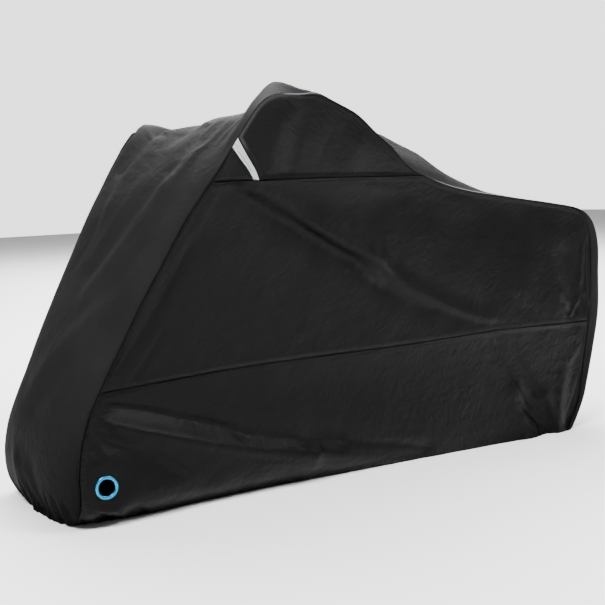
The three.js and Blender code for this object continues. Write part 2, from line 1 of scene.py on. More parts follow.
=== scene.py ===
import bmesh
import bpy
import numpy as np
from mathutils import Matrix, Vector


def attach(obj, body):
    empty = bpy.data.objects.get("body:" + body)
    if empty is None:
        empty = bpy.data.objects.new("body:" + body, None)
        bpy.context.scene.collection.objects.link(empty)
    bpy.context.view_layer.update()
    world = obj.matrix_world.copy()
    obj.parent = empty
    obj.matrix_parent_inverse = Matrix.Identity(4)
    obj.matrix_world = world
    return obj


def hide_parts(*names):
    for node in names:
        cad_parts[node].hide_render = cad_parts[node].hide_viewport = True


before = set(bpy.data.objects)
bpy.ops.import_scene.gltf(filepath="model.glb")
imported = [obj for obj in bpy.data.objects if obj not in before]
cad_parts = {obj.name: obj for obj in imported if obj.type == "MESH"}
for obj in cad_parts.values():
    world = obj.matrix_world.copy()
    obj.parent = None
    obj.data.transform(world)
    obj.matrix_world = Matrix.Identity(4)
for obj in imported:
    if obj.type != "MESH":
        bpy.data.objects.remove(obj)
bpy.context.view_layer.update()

# %% [markdown]
# # A motorcycle cover, as it hangs over a parked motorcycle
#
# The real cover is sewn from thin coated polyester. One long centre strip runs from the front hem
# over the handlebars and the seat to the rear hem. On each side hang a side panel, a skirt, a domed
# pocket over the end of the handlebars, and a small gusset with a strip of reflective tape.
# A blue anodised ring is pressed through each skirt near the front wheel.
#
# Cloth can be simulated, or drawn. Here the folds are drawn, because each one has a known
# place. All panels are worked out from the same few tables as the solids, so their seams agree.

MM = 0.001
SIDE_WORD = {-1: "left", 1: "right"}

# %% [markdown]
# ## The tables that shape the cover
#
# A maker measures such a cover at stations along its length. Each row of the strip's table is one
# station: where the seam with the side lies, and where the middle of the strip lies. All numbers
# are millimetres. They shape the solids too, but here the padding beside the peak's seam is lower,
# because the fine grid meets it in full.

# %% Centre strip, station by station
def table(names, rows):
    """A table of rows as one array for each named column."""
    return dict(zip(names.split(), np.array(rows, float).T))


# steps: grid steps to the next station. x, half, z: the seam. mid_x, mid_z: the middle of the strip.
# round: 1 is a tent, 2 an ellipse, 4 nearly a box. edge: padding that stands up beside the seam.
# far_drop: how much lower the right side hangs.
STRIP = table("steps x half z mid_x mid_z round edge far_drop", [
    (1, -1084, 206, 0, -1126, 0, 2.2, 0, 0), (1, -1098, 270, 40, -1128, 40, 2.1, 0, 0),
    (1, -1101, 295, 78, -1132, 78, 2.1, 0, 0), (1, -1102, 298, 120, -1134, 120, 2.1, 0, 0),
    (1, -1100, 294, 162, -1132, 162, 2.1, 0, 0), (1, -1086, 284, 232, -1124, 235, 2.1, 0, 0),
    (1, -1058, 274, 308, -1099, 308, 2.2, 0, 0), (2, -1021, 277, 383, -1064, 383, 2.1, 0, 0),
    (2, -954, 292, 510, -1002, 512, 2.15, 0, 0), (2, -884, 309, 639, -926, 640, 2.25, 0, 0),
    (2, -818, 327, 752, -854, 752, 2.4, 0, 0), (1, -754, 345, 862, -786, 862, 2.4, 0, 0),
    (2, -683, 370, 964, -712, 964, 2.4, 0, 0), (2, -649, 382, 1015, -670, 1011, 2.6, 0, 0),
    (1, -620, 388, 1061, -630, 1050, 2.8, 6, 0), (1, -604, 393, 1089, -604, 1076, 2.8, 12, 5),
    (1, -569, 405, 1145, -554, 1122, 2.6, 24, 22), (1, -534, 419, 1190, -511, 1152, 2.6, 42, 42),
    (2, -489, 430, 1212, -459, 1170, 2.6, 62, 80), (2, -409, 421, 1215, -364, 1172, 2.6, 42, 82),
    (2, -339, 409, 1217, -264, 1169, 2.6, 25, 70), (2, -254, 394, 1191, -159, 1163, 2, 8, 50),
    (2, -161, 371, 1157, -49, 1160, 1.6, -6, 30), (2, -67, 345, 1104, 56, 1150, 1.2, -12, 12),
    (2, 22, 320, 1056, 141, 1136, 1, -14, 2), (2, 101, 298, 1000, 206, 1118, 1, -20, 0),
    (2, 186, 277, 964, 271, 1093, 1, -18, 0), (3, 316, 260, 925, 391, 1040, 1, -12, 0),
    (3, 458, 248, 897, 524, 958, 1.1, -6, 0), (4, 636, 240, 873, 676, 880, 1.7, 0, 0),
    (3, 836, 236, 845, 861, 848, 2.8, 0, 0), (2, 971, 235, 820, 1021, 819, 3.6, 0, 0),
    (2, 1021, 237, 783, 1096, 776, 4, 0, 0), (1, 1042, 241, 724, 1127, 720, 4, 0, 0),
    (2, 1045, 246, 660, 1136, 656, 4, 0, 0), (2, 1036, 253, 570, 1128, 568, 4, 0, 0),
    (2, 1022, 262, 468, 1120, 466, 4, 0, 0), (1, 1004, 270, 390, 1104, 388, 4, 0, 0),
    (1, 976, 280, 308, 1076, 306, 3.8, 0, 0), (1, 948, 290, 232, 1046, 230, 3.6, 0, 0),
    (1, 922, 301, 160, 1012, 158, 3.4, 0, 0), (1, 906, 307, 120, 996, 118, 3.2, 0, 0),
    (1, 882, 314, 80, 972, 78, 3, 0, 0), (1, 846, 322, 40, 940, 38, 3, 0, 0),
    (0, 806, 332, 0, 902, 0, 3, 0, 0),
])
# Named stations, by their row in the table
FRONT_HEM, SKIRT_FRONT, POCKET_FRONT, BAND_LOW, BAND_HIGH = 0, 7, 12, 14, 15
POCKET_TOP_REAR, POCKET_REAR, TAIL, SKIRT_REAR, REAR_HEM = 24, 26, 32, 37, 44
print("stations:", len(STRIP["x"]), "height of the peak seam:", STRIP["z"].max(), "mm")

# %% Seams of the sides
SKIRT_SEAM = table("x half z", [
    (-815, 289, 394), (-585, 298, 404), (-374, 303, 406), (96, 303, 403), (518, 292, 406),
])
POCKET_SEAM = table("x half z", [
    (-521, 360, 965), (-361, 345, 966), (-199, 330, 966), (0, 305, 965),
])
# The two edges of the reflective tape, from the pocket seam up to the centre strip
TAPE_FRONT = table("x half z", [(-541, 361, 965), (-564, 372, 998), (-593, 382, 1030)])
TAPE_REAR = table("x half z", [(-521, 360, 965), (-540, 372, 997), (-570, 385, 1038)])
HEM = table("x half z", [
    (-1007, 222, 0), (-896, 241, 0), (-704, 236, 0), (-504, 234, 0),
    (-184, 258, 0), (123, 285, 0), (399, 303, 0), (727, 332, 0),
])
print("length of the skirt's seam points:", np.ptp(SKIRT_SEAM["x"]), "mm")

# %% [markdown]
# ## From stations to a smooth strip
#
# Between two stations every measure follows a smooth curve (Catmull-Rom), and across the strip the
# section is a superellipse. So the strip is a function of two numbers: the place along it, counted
# in stations, and the turn from the left seam (-1) to the right seam (1).

# %% The strip as a function of place and turn
def fade(value, start, end):
    """A smooth step from 0 at start to 1 at end: 3 t squared less 2 t cubed."""
    t = np.clip((value - start) / (end - start), 0, 1)
    return t * t * (3 - 2 * t)


def at_station(column, place):
    """A column between stations: a cubic through both neighbours, with slopes from their neighbours."""
    last = len(column) - 1
    index = np.clip(np.floor(place).astype(int), 0, last - 1)
    t = place - index
    before, here = column[np.maximum(index - 1, 0)], column[index]
    after, beyond = column[index + 1], column[np.minimum(index + 2, last)]
    slope_here, slope_after = (after - before) / 2, (beyond - here) / 2
    return (here * (2 * t**3 - 3 * t**2 + 1) + slope_here * (t**3 - 2 * t**2 + t)
            + after * (3 * t**2 - 2 * t**3) + slope_after * (t**3 - t**2))


# Millimetres over which the middle of a tent-shaped section is rounded off
RIDGE = 28


def strip_point(place, turn):
    """The strip's surface. Across it the section is a superellipse, swing = (1 - w ** n) ** (1 / n),
    where w is the distance from the middle as a share of the half width. Where n is under 2 the
    section would have a sharp ridge in the middle, so the distance is rounded off there over RIDGE."""
    row = {name: at_station(column, place) for name, column in STRIP.items()}
    n = np.maximum(row["round"], 1)
    y = row["half"] * np.sign(turn) * np.abs(np.sin(turn * np.pi / 2)) ** (2 / n)
    ridge = RIDGE * np.clip(2.2 - n, 0, 1) + 0.01
    w = (np.hypot(y, ridge) - ridge) / (np.hypot(row["half"], ridge) - ridge)
    swing = np.where(np.abs(turn) >= 1, 0, np.clip(1 - w ** n, 0, 1) ** (1 / n))
    from_seam = row["half"] - np.abs(y)
    lump = row["edge"] * np.exp(-((from_seam - 36) / 40) ** 2) * fade(from_seam, 0, 36)
    drop = row["far_drop"] * fade(y, 0, row["half"])
    x = row["x"] + (row["mid_x"] - row["x"]) * swing
    z = row["z"] + (row["mid_z"] - row["z"]) * swing + lump - drop
    return np.stack([x, y, z], -1)


print("peak of the left seam in mm:", strip_point(np.array(18.0), np.array(-1.0)).round(1))


# %% Grid places of the solids, and the seam between strip and sides
steps = STRIP["steps"].astype(int)
grid_places = np.concatenate([i + np.arange(max(n, 1)) / max(n, 1) for i, n in enumerate(steps)])
grid_index = {row: int(np.argmin(np.abs(grid_places - row))) for row in range(len(steps))}


def seam(side, index):
    """The seam of one side at grid indices, which may lie between two grid lines."""
    place = np.interp(index, np.arange(len(grid_places)), grid_places)
    return strip_point(place, np.full_like(place, float(side)))


print("grid lines along the strip:", len(grid_places))

# %% [markdown]
# ## Sides as patches between four edges
#
# A Coons patch fills four edges: it blends the lower and upper edge, blends the front and rear edge,
# and takes away what the two have in common. Neighbours that share an edge then meet exactly.

# %% Chains of points
def smooth_chain(points, count=300):
    """A centripetal Catmull-Rom curve: between points, slopes follow the root of their distances."""
    ends = [2 * points[0] - points[1], 2 * points[-1] - points[-2]]
    p = np.vstack([ends[:1], points, ends[1:]])
    root = np.maximum((np.diff(p, axis=0) ** 2).sum(1) ** 0.25, 1e-4)[:, None]
    place = np.linspace(0, len(points) - 1, count + 1)
    k = np.minimum(place.astype(int), len(points) - 2)
    t = (place - k)[:, None]
    d0, d1, d2 = root[k], root[k + 1], root[k + 2]
    p0, p1, p2, p3 = p[k], p[k + 1], p[k + 2], p[k + 3]
    s1 = ((p1 - p0) / d0 - (p2 - p0) / (d0 + d1) + (p2 - p1) / d1) * d1
    s2 = ((p2 - p1) / d1 - (p3 - p1) / (d1 + d2) + (p3 - p2) / d2) * d1
    return p1 + s1 * t + (3 * (p2 - p1) - 2 * s1 - s2) * t**2 + (2 * (p1 - p2) + s1 + s2) * t**3


def run_of(chain):
    """The length along a chain of points, from 0 at its first point."""
    return np.concatenate([[0], np.cumsum(np.linalg.norm(np.diff(chain, axis=0), axis=1))])


def at_share(chain, share):
    """Points at shares of a chain's length."""
    run = run_of(chain)
    want = np.asarray(share) * run[-1]
    return np.stack([np.interp(want, run, chain[:, axis]) for axis in range(3)], -1)


def seam_chain(start, rows, end, side):
    """A smooth chain from one seam point over the rows of a table to another."""
    through = np.stack([rows["x"], side * rows["half"], rows["z"]], -1)
    return smooth_chain(np.vstack([start, through, end]))


# %% The patch
def shares_of(chain):
    """Each point's share of the chain's length. A chain without length is shared out evenly."""
    run = run_of(chain)
    return run / run[-1] if run[-1] > 0 else np.linspace(0, 1, len(chain))


def patch(bottom, top, front, rear):
    """A Coons patch. Its inner points use the mean of the opposite edges' shares of length."""
    s = ((shares_of(bottom) + shares_of(top)) / 2)[None, :, None]
    t = ((shares_of(front) + shares_of(rear)) / 2)[:, None, None]
    along = bottom[None] * (1 - t) + top[None] * t
    upward = front[:, None] * (1 - s) + rear[:, None] * s
    corners = ((1 - s) * (1 - t) * bottom[0] + s * (1 - t) * bottom[-1]
               + (1 - s) * t * front[-1] + s * t * rear[-1])
    return along + upward - corners


# %% The edges of one side's five panels
GUSSET_COLUMNS = 3
# Distances in mm from the front seam of the skirt's first three grid lines, around the lock ring
RING_COLUMNS = np.array([31, 73, 115])
GRID = np.arange(len(grid_places))
POCKET_COLUMNS = grid_index[POCKET_TOP_REAR] - grid_index[BAND_HIGH]
TAIL_COLUMNS = grid_index[TAIL] - grid_index[POCKET_REAR]
COLUMNS = GUSSET_COLUMNS + 1 + POCKET_COLUMNS + TAIL_COLUMNS


def skirt_share(chain, column):
    """The share of a chain's length at a column of the skirt, whose first columns are close together."""
    total = run_of(chain)[-1]
    first = RING_COLUMNS / total
    left = COLUMNS - len(first)
    rest = first[-1] + (1 - first[-1]) * np.arange(1, left + 1) / left
    return np.interp(column, np.arange(COLUMNS + 1), np.concatenate([[0], first, rest]))


def without_first(rows):
    """A table without its first row."""
    return {name: column[1:] for name, column in rows.items()}


def first_point(rows, side):
    """The first point of a table of seam points."""
    return np.array([rows["x"][0], side * rows["half"][0], rows["z"][0]])


def side_edges(side):
    """For each panel: its columns and rows, then its lower, upper, front and rear edge as functions of
    the column or the row."""
    at = {row: seam(side, np.array([float(grid_index[row])]))[0] for row in grid_index}
    tape_front, tape_rear = first_point(TAPE_FRONT, side), first_point(TAPE_REAR, side)
    front_of_tape = seam_chain(tape_front, without_first(TAPE_FRONT), at[BAND_LOW], side)
    rear_of_tape = seam_chain(tape_rear, without_first(TAPE_REAR), at[BAND_HIGH], side)
    pocket_foot = seam_chain(tape_rear, without_first(POCKET_SEAM), at[POCKET_REAR], side)
    skirt_top = seam_chain(at[SKIRT_FRONT], SKIRT_SEAM, at[SKIRT_REAR], side)
    hem = seam_chain(at[FRONT_HEM], HEM, at[REAR_HEM], side)
    rise = grid_index[BAND_LOW] - grid_index[POCKET_FRONT]

    def side_top(column):
        """Gusset foot, tape foot, pocket foot, then the seam down to the tail."""
        c = column[:, None]
        tape = GUSSET_COLUMNS + 1
        gusset = at[POCKET_FRONT] + (tape_front - at[POCKET_FRONT]) * c / GUSSET_COLUMNS
        foot = tape_front + (tape_rear - tape_front) * (c - GUSSET_COLUMNS)
        pocket = at_share(pocket_foot, np.clip((column - tape) / POCKET_COLUMNS, 0, 1))
        tail = seam(side, grid_index[POCKET_REAR] + np.maximum(column - tape - POCKET_COLUMNS, 0))
        return np.where(c <= GUSSET_COLUMNS, gusset,
                        np.where(c <= tape, foot, np.where(c <= tape + POCKET_COLUMNS, pocket, tail)))

    return {
        "skirt_panel": (COLUMNS, grid_index[SKIRT_FRONT],
                        lambda u: at_share(hem, skirt_share(hem, u)),
                        lambda u: at_share(skirt_top, skirt_share(skirt_top, u)),
                        lambda w: seam(side, w),
                        lambda w: seam(side, grid_index[REAR_HEM] - w)),
        "side_panel": (COLUMNS, grid_index[POCKET_FRONT] - grid_index[SKIRT_FRONT],
                       lambda u: at_share(skirt_top, skirt_share(skirt_top, u)),
                       side_top,
                       lambda w: seam(side, grid_index[SKIRT_FRONT] + w),
                       lambda w: seam(side, grid_index[SKIRT_REAR] - w)),
        "handlebar_pocket": (POCKET_COLUMNS, rise,
                             lambda u: at_share(pocket_foot, u / POCKET_COLUMNS),
                             lambda u: seam(side, grid_index[BAND_HIGH] + u),
                             lambda w: at_share(rear_of_tape, w / rise),
                             lambda w: seam(side, grid_index[POCKET_REAR] - w)),
        "front_gusset": (GUSSET_COLUMNS, rise,
                         lambda u: at[POCKET_FRONT] + (tape_front - at[POCKET_FRONT])
                         * u[:, None] / GUSSET_COLUMNS,
                         lambda u: np.repeat(at[BAND_LOW][None], len(u), 0),
                         lambda w: seam(side, grid_index[POCKET_FRONT] + w),
                         lambda w: at_share(front_of_tape, w / rise)),
        "reflective_strip": (1, rise,
                             lambda u: tape_front + (tape_rear - tape_front) * u[:, None],
                             lambda u: seam(side, grid_index[BAND_LOW] + u),
                             lambda w: at_share(front_of_tape, w / rise),
                             lambda w: at_share(rear_of_tape, w / rise)),
    }


print("columns of a side panel:", COLUMNS)

# %% [markdown]
# ## Folds
#
# A fold is a line on the cloth with a height that dies away to both sides like a bell. A line with
# a plus height is a ridge, one with a minus height is a trough. The broad folds below are those of
# the solids, with the left skirt's moved a little and two more on the strip. The fine creases after
# them are only drawn here.

# %% Broad folds of the sides, seen from the side: crest line, width and height in mm
BROAD_LEFT = table("a1 b1 a2 b2 width height", [
    (-554, 945, -44, 700, 62, 17), (-594, 940, -164, 700, 46, -13),
    (26, 620, 436, 500, 70, -7), (-704, 930, -1014, 420, 60, -8),
    (-994, 335, -776, 275, 36, -12), (-722, 257, -570, 206, 34, -12),
    (-516, 194, -217, 130, 34, -11), (-964, 282, -706, 196, 38, 15),
    (-644, 177, -320, 84, 40, 15), (-881, 186, -704, 80, 42, -9),
    (-299, 142, 143, 36, 40, -9), (626, 20, 576, 170, 46, 9),
    (719, 5, 636, 120, 36, -13), (781, 5, 716, 130, 34, 12),
    (716, 40, 496, 370, 60, -7), (841, 60, 906, 212, 34, -8),
    (896, 640, 936, 420, 44, -8), (816, 700, 866, 480, 60, 8),
    (-484, 1000, -459, 1130, 34, 7), (-404, 990, -384, 1120, 34, -6),
    (-164, 1010, -124, 1090, 60, 8),
])
BROAD_RIGHT = table("a1 b1 a2 b2 width height", [
    (-584, 930, -184, 640, 64, 16), (-484, 900, -4, 730, 50, -12),
    (86, 700, 496, 480, 72, 8), (-724, 900, -994, 430, 60, -9),
    (-964, 330, -624, 250, 40, -13), (-624, 250, -244, 90, 42, -12),
    (-924, 255, -484, 130, 44, 14), (-144, 180, 236, 60, 46, -10),
    (576, 20, 496, 240, 50, 9), (696, 5, 626, 150, 38, -12),
    (786, 5, 736, 150, 34, 11), (876, 650, 916, 400, 48, -8),
    (756, 720, 796, 500, 64, 7), (-464, 1000, -444, 1090, 36, 6),
    (-184, 1000, -104, 1080, 60, 7),
])
# Broad folds of the strip: a is the length from the front hem on its middle line, b is sideways
BROAD_STRIP = table("a1 b1 a2 b2 width height", [
    (1185, -180, 1055, -165, 42, 9), (1055, -165, 690, -10, 46, 11),
    (1120, -90, 760, 60, 50, -9), (860, -170, 700, -75, 40, -7),
    (640, -140, 400, 100, 46, 9), (560, -150, 330, 40, 44, -8),
    (1330, 300, 1150, 265, 40, -12), (1330, 200, 1000, 150, 50, 9),
    (130, 0, 20, -40, 40, -7), (150, 130, 20, 110, 36, 7),
    (1500, -120, 1700, 60, 60, -8), (1480, 160, 1800, 40, 60, 8),
    (2640, -120, 2850, 100, 50, -6), (2760, 130, 2950, -60, 46, 5),
    (3120, -110, 3420, 60, 60, -8), (3500, 120, 3850, 60, 50, -8),
    (3560, -60, 3850, -100, 46, 8), (1320, 40, 1440, 55, 60, -15),
    (2560, -130, 2640, -130, 60, -8),
])
print("broad folds:", len(BROAD_LEFT["a1"]), len(BROAD_RIGHT["a1"]), len(BROAD_STRIP["a1"]))


# %% Height of folds at points of the cloth
def line_distance(a, b, a1, b1, a2, b2):
    """Distance to a line piece: to the nearest point whose share along the piece is from 0 to 1."""
    da, db = a2 - a1, b2 - b1
    t = np.clip(((a - a1) * da + (b - b1) * db) / (da * da + db * db), 0, 1)
    return np.hypot(a - a1 - t * da, b - b1 - t * db)


def broad_height(a, b, folds):
    """The sum of all broad folds: height times a bell of the distance over the width."""
    total = np.zeros_like(a)
    for a1, b1, a2, b2, width, height in zip(*folds.values()):
        total += height * np.exp(-((line_distance(a, b, a1, b1, a2, b2) / width) ** 2))
    return total


def crease_height(a, b, creases):
    """The sum of fine creases. Each follows a bow through three points. Its height goes evenly from
    h1 to h2, and it has one width on its left and one on its right, so a side can be steeper. Its ends
    have half the height, so that two creases that meet end to end don't add up to a knob."""
    total = np.zeros_like(a)
    for a1, b1, am, bm, a2, b2, left, right, h1, h2 in zip(*creases.values()):
        s = np.linspace(0, 1, 13)
        bow_a = a1 * (1 - s) ** 2 + 2 * s * (1 - s) * (2 * am - (a1 + a2) / 2) + a2 * s**2
        bow_b = b1 * (1 - s) ** 2 + 2 * s * (1 - s) * (2 * bm - (b1 + b2) / 2) + b2 * s**2
        reach = 2.6 * max(left, right)
        near = ((a > bow_a.min() - reach) & (a < bow_a.max() + reach)
                & (b > bow_b.min() - reach) & (b < bow_b.max() + reach))
        if not near.any():
            continue
        p, q = a[near][:, None], b[near][:, None]
        da, db = np.diff(bow_a), np.diff(bow_b)
        t = np.clip(((p - bow_a[:-1]) * da + (q - bow_b[:-1]) * db) / (da**2 + db**2), 0, 1)
        off_a, off_b = p - bow_a[:-1] - t * da, q - bow_b[:-1] - t * db
        every = np.hypot(off_a, off_b)
        nearest = (np.arange(len(every)), every.argmin(1))
        distance = every[nearest]
        sideways = ((da * off_b - db * off_a) / np.hypot(da, db))[nearest]
        over = sideways / np.maximum(distance, 1e-6)
        share = (nearest[1] + t[nearest]) / len(da)
        width = right + (left - right) * (0.5 + 0.5 * over)
        ends = 0.5 + 0.5 * fade(share, 0, 0.14) * fade(1 - share, 0, 0.14)
        height = (h1 + (h2 - h1) * share) * ends
        total[near] += height * np.exp(-((distance / width) ** 2))
    return total


# %% Uneven lie of the cloth between its folds
def waves(a, b, seed, shortest, longest, height, count=28):
    """A random lie: a sum of cosines in all directions, each as high as its length is long."""
    rng = np.random.default_rng(seed)
    total = np.zeros_like(a)
    for _ in range(count):
        length = shortest * (longest / shortest) ** rng.random()
        way, phase = rng.random(2) * 2 * np.pi
        total += length / longest * np.cos(
            2 * np.pi * (a * np.cos(way) + b * np.sin(way)) / length + phase)
    return height * total / np.sqrt(count / 2)


# %% Grid lines close together at the seams
# Distances in mm of the grid lines next to a seam, so that its dip and its allowance have a form
NEAR_SEAM = np.array([0, 1.2, 2.6, 4.2, 6.5, 9.5, 13, 17.5])


def grid_lines(length, pitch):
    """Distances along a length: close together at both ends and even in between."""
    inner = length - 2 * NEAR_SEAM[-1]
    count = max(int(round(inner / pitch)), 2)
    middle = NEAR_SEAM[-1] + inner * np.arange(1, count) / count
    return np.concatenate([NEAR_SEAM, middle, length - NEAR_SEAM[::-1]])


def outward_of(points, side_sign):
    """The cloth's outward direction: the cross product of its two grid directions."""
    along = np.gradient(points, axis=1)
    upward = np.gradient(points, axis=0)
    out = side_sign * np.cross(along, upward)
    return out / np.maximum(np.linalg.norm(out, axis=-1, keepdims=True), 1e-9)


print("grid lines over a length of 400 mm:", len(grid_lines(400, 8)))


# %% One side's panel as a grid of points
def panel_grid(edges, pitch):
    """The patch on fine grid lines."""
    columns, rows, bottom, top, front, rear = edges
    u, w = np.linspace(0, columns, 40 * columns + 1), np.linspace(0, rows, 40 * rows + 1)
    length = (run_of(bottom(u)) + run_of(top(u))) / 2
    height = (run_of(front(w)) + run_of(rear(w))) / 2
    across, upward = grid_lines(length[-1], pitch), grid_lines(height[-1], pitch)
    u, w = np.interp(across, length, u), np.interp(upward, height, w)
    return patch(bottom(u), top(u), front(w), rear(w))


def coarse_grid(edges):
    """The patch on the grid lines of the solids."""
    columns, rows, bottom, top, front, rear = edges
    u, w = np.arange(columns + 1.0), np.arange(rows + 1.0)
    return patch(bottom(u), top(u), front(w), rear(w))


# %% Lock ring and the flat spot around it
# Millimetres: bore, barrel and flange radius, and how much wider than the barrel the cloth's hole is
BORE, BARREL, FLANGE, HOLE_PLAY = 24, 27, 34, 0.4
# Millimetres: radius that is quite flat, and radius where the folds are back in full
FLAT_INNER, FLAT_OUTER = 64, 125


def ring_place(side):
    """The middle of the ring, and the cloth's outward direction there."""
    grid = coarse_grid(side_edges(side)["skirt_panel"])
    along, upward = grid[3, 3] - grid[3, 1], grid[4, 2] - grid[2, 2]
    out = np.cross(upward, along)
    out *= np.sign(out[1]) * side / np.linalg.norm(out)
    return grid[3, 2], out


def fold_side(points, side):
    """Moves a panel by its broad folds, which fade at the strip's seam, and flattens the ring's spot."""
    line = seam(side, np.arange(0, len(grid_places) - 1, 0.25))[:, [0, 2]]
    flat = points.reshape(-1, 3)
    gap = np.concatenate([
        np.sqrt(((part[:, None, [0, 2]] - line[None]) ** 2).sum(-1)).min(1)
        for part in np.array_split(flat, 24)])
    folds = BROAD_LEFT if side < 0 else BROAD_RIGHT
    moved = flat.copy()
    moved[:, 1] += side * broad_height(flat[:, 0], flat[:, 2], folds) * fade(gap, 1, 85)
    middle, out = ring_place(side)
    weight = 1 - fade(np.linalg.norm(flat - middle, axis=1), FLAT_INNER, FLAT_OUTER)
    weight *= np.clip(gap / RING_COLUMNS[0], 0, 1) * np.clip(flat[:, 2] / 20, 0, 1)
    moved -= ((moved - middle) @ out * weight)[:, None] * out
    return moved.reshape(points.shape), gap.reshape(points.shape[:2])


for side in SIDE_WORD:
    middle, out = ring_place(side)
    print("lock ring:", middle.round(1), "faces", out.round(3))

# %% [markdown]
# ## Seams
#
# On the real cover two panels are sewn together inside out and topstitched, so that each seam is a
# narrow valley between two slightly raised allowances. Both rims of a seam sink along one shared
# direction, or the cover would gape where panels meet at an angle.

# %% Seam profile
# Millimetres: depth of the valley, its width, height of the allowance beside it, and where that lies
VALLEY, VALLEY_WIDTH, ALLOWANCE, ALLOWANCE_AT, ALLOWANCE_WIDTH = 2.2, 1.7, 0.5, 8.0, 5.0


def valley(distance):
    """How far a rim sinks: depth times a narrow bell of the distance from the seam."""
    return VALLEY * np.exp(-((distance / VALLEY_WIDTH) ** 2))


def allowance(distance, height=ALLOWANCE):
    """The raised seam allowance: a bell around its middle line, nothing at the seam itself."""
    bell = np.exp(-(((distance - ALLOWANCE_AT) / ALLOWANCE_WIDTH) ** 2))
    return height * bell * fade(distance, 0, 4)


def strip_seam_out(side):
    """Along a side's seam: its points, and the mean of the strip's and the side's outward ways."""
    place = np.linspace(0, REAR_HEM, 900)
    edge = strip_point(place, np.full_like(place, float(side)))
    inner = strip_point(place, np.full_like(place, side * 0.93))
    out = np.cross(np.gradient(edge, axis=0), (inner - edge) * -side)
    out /= np.linalg.norm(out, axis=1, keepdims=True)
    out += np.array([0, side, 0])
    return place, edge, out / np.linalg.norm(out, axis=1, keepdims=True)


for side in SIDE_WORD:
    place, edge, out = strip_seam_out(side)
    print("seam's outward way at the peak:", out[np.argmax(edge[:, 2])].round(2))


# %% Distances from the edges of a panel
def edge_distances(points):
    """For every point, its distance along the grid lines to the front, rear, lower and upper edge."""
    step_u = np.linalg.norm(np.diff(points, axis=1), axis=-1)
    step_w = np.linalg.norm(np.diff(points, axis=0), axis=-1)
    from_front = np.pad(np.cumsum(step_u, 1), ((0, 0), (1, 0)))
    from_below = np.pad(np.cumsum(step_w, 0), ((1, 0), (0, 0)))
    return {"front": from_front, "rear": from_front[:, -1:] - from_front,
            "lower": from_below, "upper": from_below[-1:] - from_below}


def seam_fields(distances, sewn):
    """The distance to the nearest sewn edge, and the run along that edge, both in mm."""
    run = {"front": "lower", "rear": "lower", "lower": "front", "upper": "front"}
    stack = np.stack([distances[name] for name in sewn])
    runs = np.stack([distances[run[name]] for name in sewn])
    nearest = stack.argmin(0)[None]
    return np.take_along_axis(stack, nearest, 0)[0], np.take_along_axis(runs, nearest, 0)[0]


# %% [markdown]
# ## Meshes
#
# Every panel is one grid of quads that numpy works out as a whole. Its UV map holds real metres
# along and across the cloth, so a weave keeps its size. Solidify then gives the thickness inward.
# The skirt's hole could be cut with a Boolean, which leaves slivers. Leaving out the quads inside the
# hole and drawing the rim to its circle keeps the grid clean, and the ring's plates hide that rim.

# %% A grid of points as a sheet of cloth
THICKNESS = 1.5


def cloth_sheet(name, points, turned, fields, uv, hole=None):
    """One quad for each cell of the grid, wound so that it faces out, with smooth shading. A hole is a
    middle and a radius: quads inside it are left out, and other points in it move out to its circle."""
    rows, columns = points.shape[:2]
    index = np.arange(rows * columns).reshape(rows, columns)
    quads = np.stack([index[:-1, :-1], index[:-1, 1:], index[1:, 1:], index[1:, :-1]], -1)
    quads = quads.reshape(-1, 4)[:, ::-1] if turned else quads.reshape(-1, 4)
    flat = points.reshape(-1, 3)
    if hole:
        middle, radius = hole
        away = np.linalg.norm(flat - middle, axis=1)
        inside = away < radius
        quads = quads[~inside[quads].all(1)]
        on_circle = middle + (flat - middle) * (radius / np.maximum(away, 1e-6))[:, None]
        flat = np.where(inside[:, None], on_circle, flat)
    used, quads = np.unique(quads, return_inverse=True)
    quads = quads.reshape(-1, 4)
    mesh = bpy.data.meshes.new(name)
    mesh.from_pydata((flat[used] * MM).tolist(), [], quads.tolist())
    mesh.polygons.foreach_set("use_smooth", np.ones(len(quads), bool))
    for field, values in fields.items():
        layer = mesh.attributes.new(field, "FLOAT", "POINT")
        layer.data.foreach_set("value", values.ravel()[used].astype(np.float32))
    corner_uv = uv.reshape(-1, 2)[used][quads.ravel()] * MM
    layer = mesh.uv_layers.new(name="cloth_metres")
    layer.data.foreach_set("uv", corner_uv.astype(np.float32).ravel())
    mesh.update()
    mesh.validate()
    sheet = bpy.data.objects.new(name, mesh)
    bpy.context.scene.collection.objects.link(sheet)
    return sheet


def thicken(sheet):
    """Gives the sheet its thickness on the inside."""
    solidify = sheet.modifiers.new("thickness", "SOLIDIFY")
    solidify.thickness = THICKNESS * MM
    solidify.offset = -1


print("thickness of the cloth:", THICKNESS, "mm")

# %% [markdown]
# ## The centre strip
#
# The strip is the widest panel, up to 0.86 m across at the handlebars. A cloth simulation would
# drape it over some block, and each fold would land by chance. Here the surface is the strip's
# function at grid lines 10 mm apart, and each fold lies where the photograph has it.

# %% Centre strip
STRIP_PITCH = 10


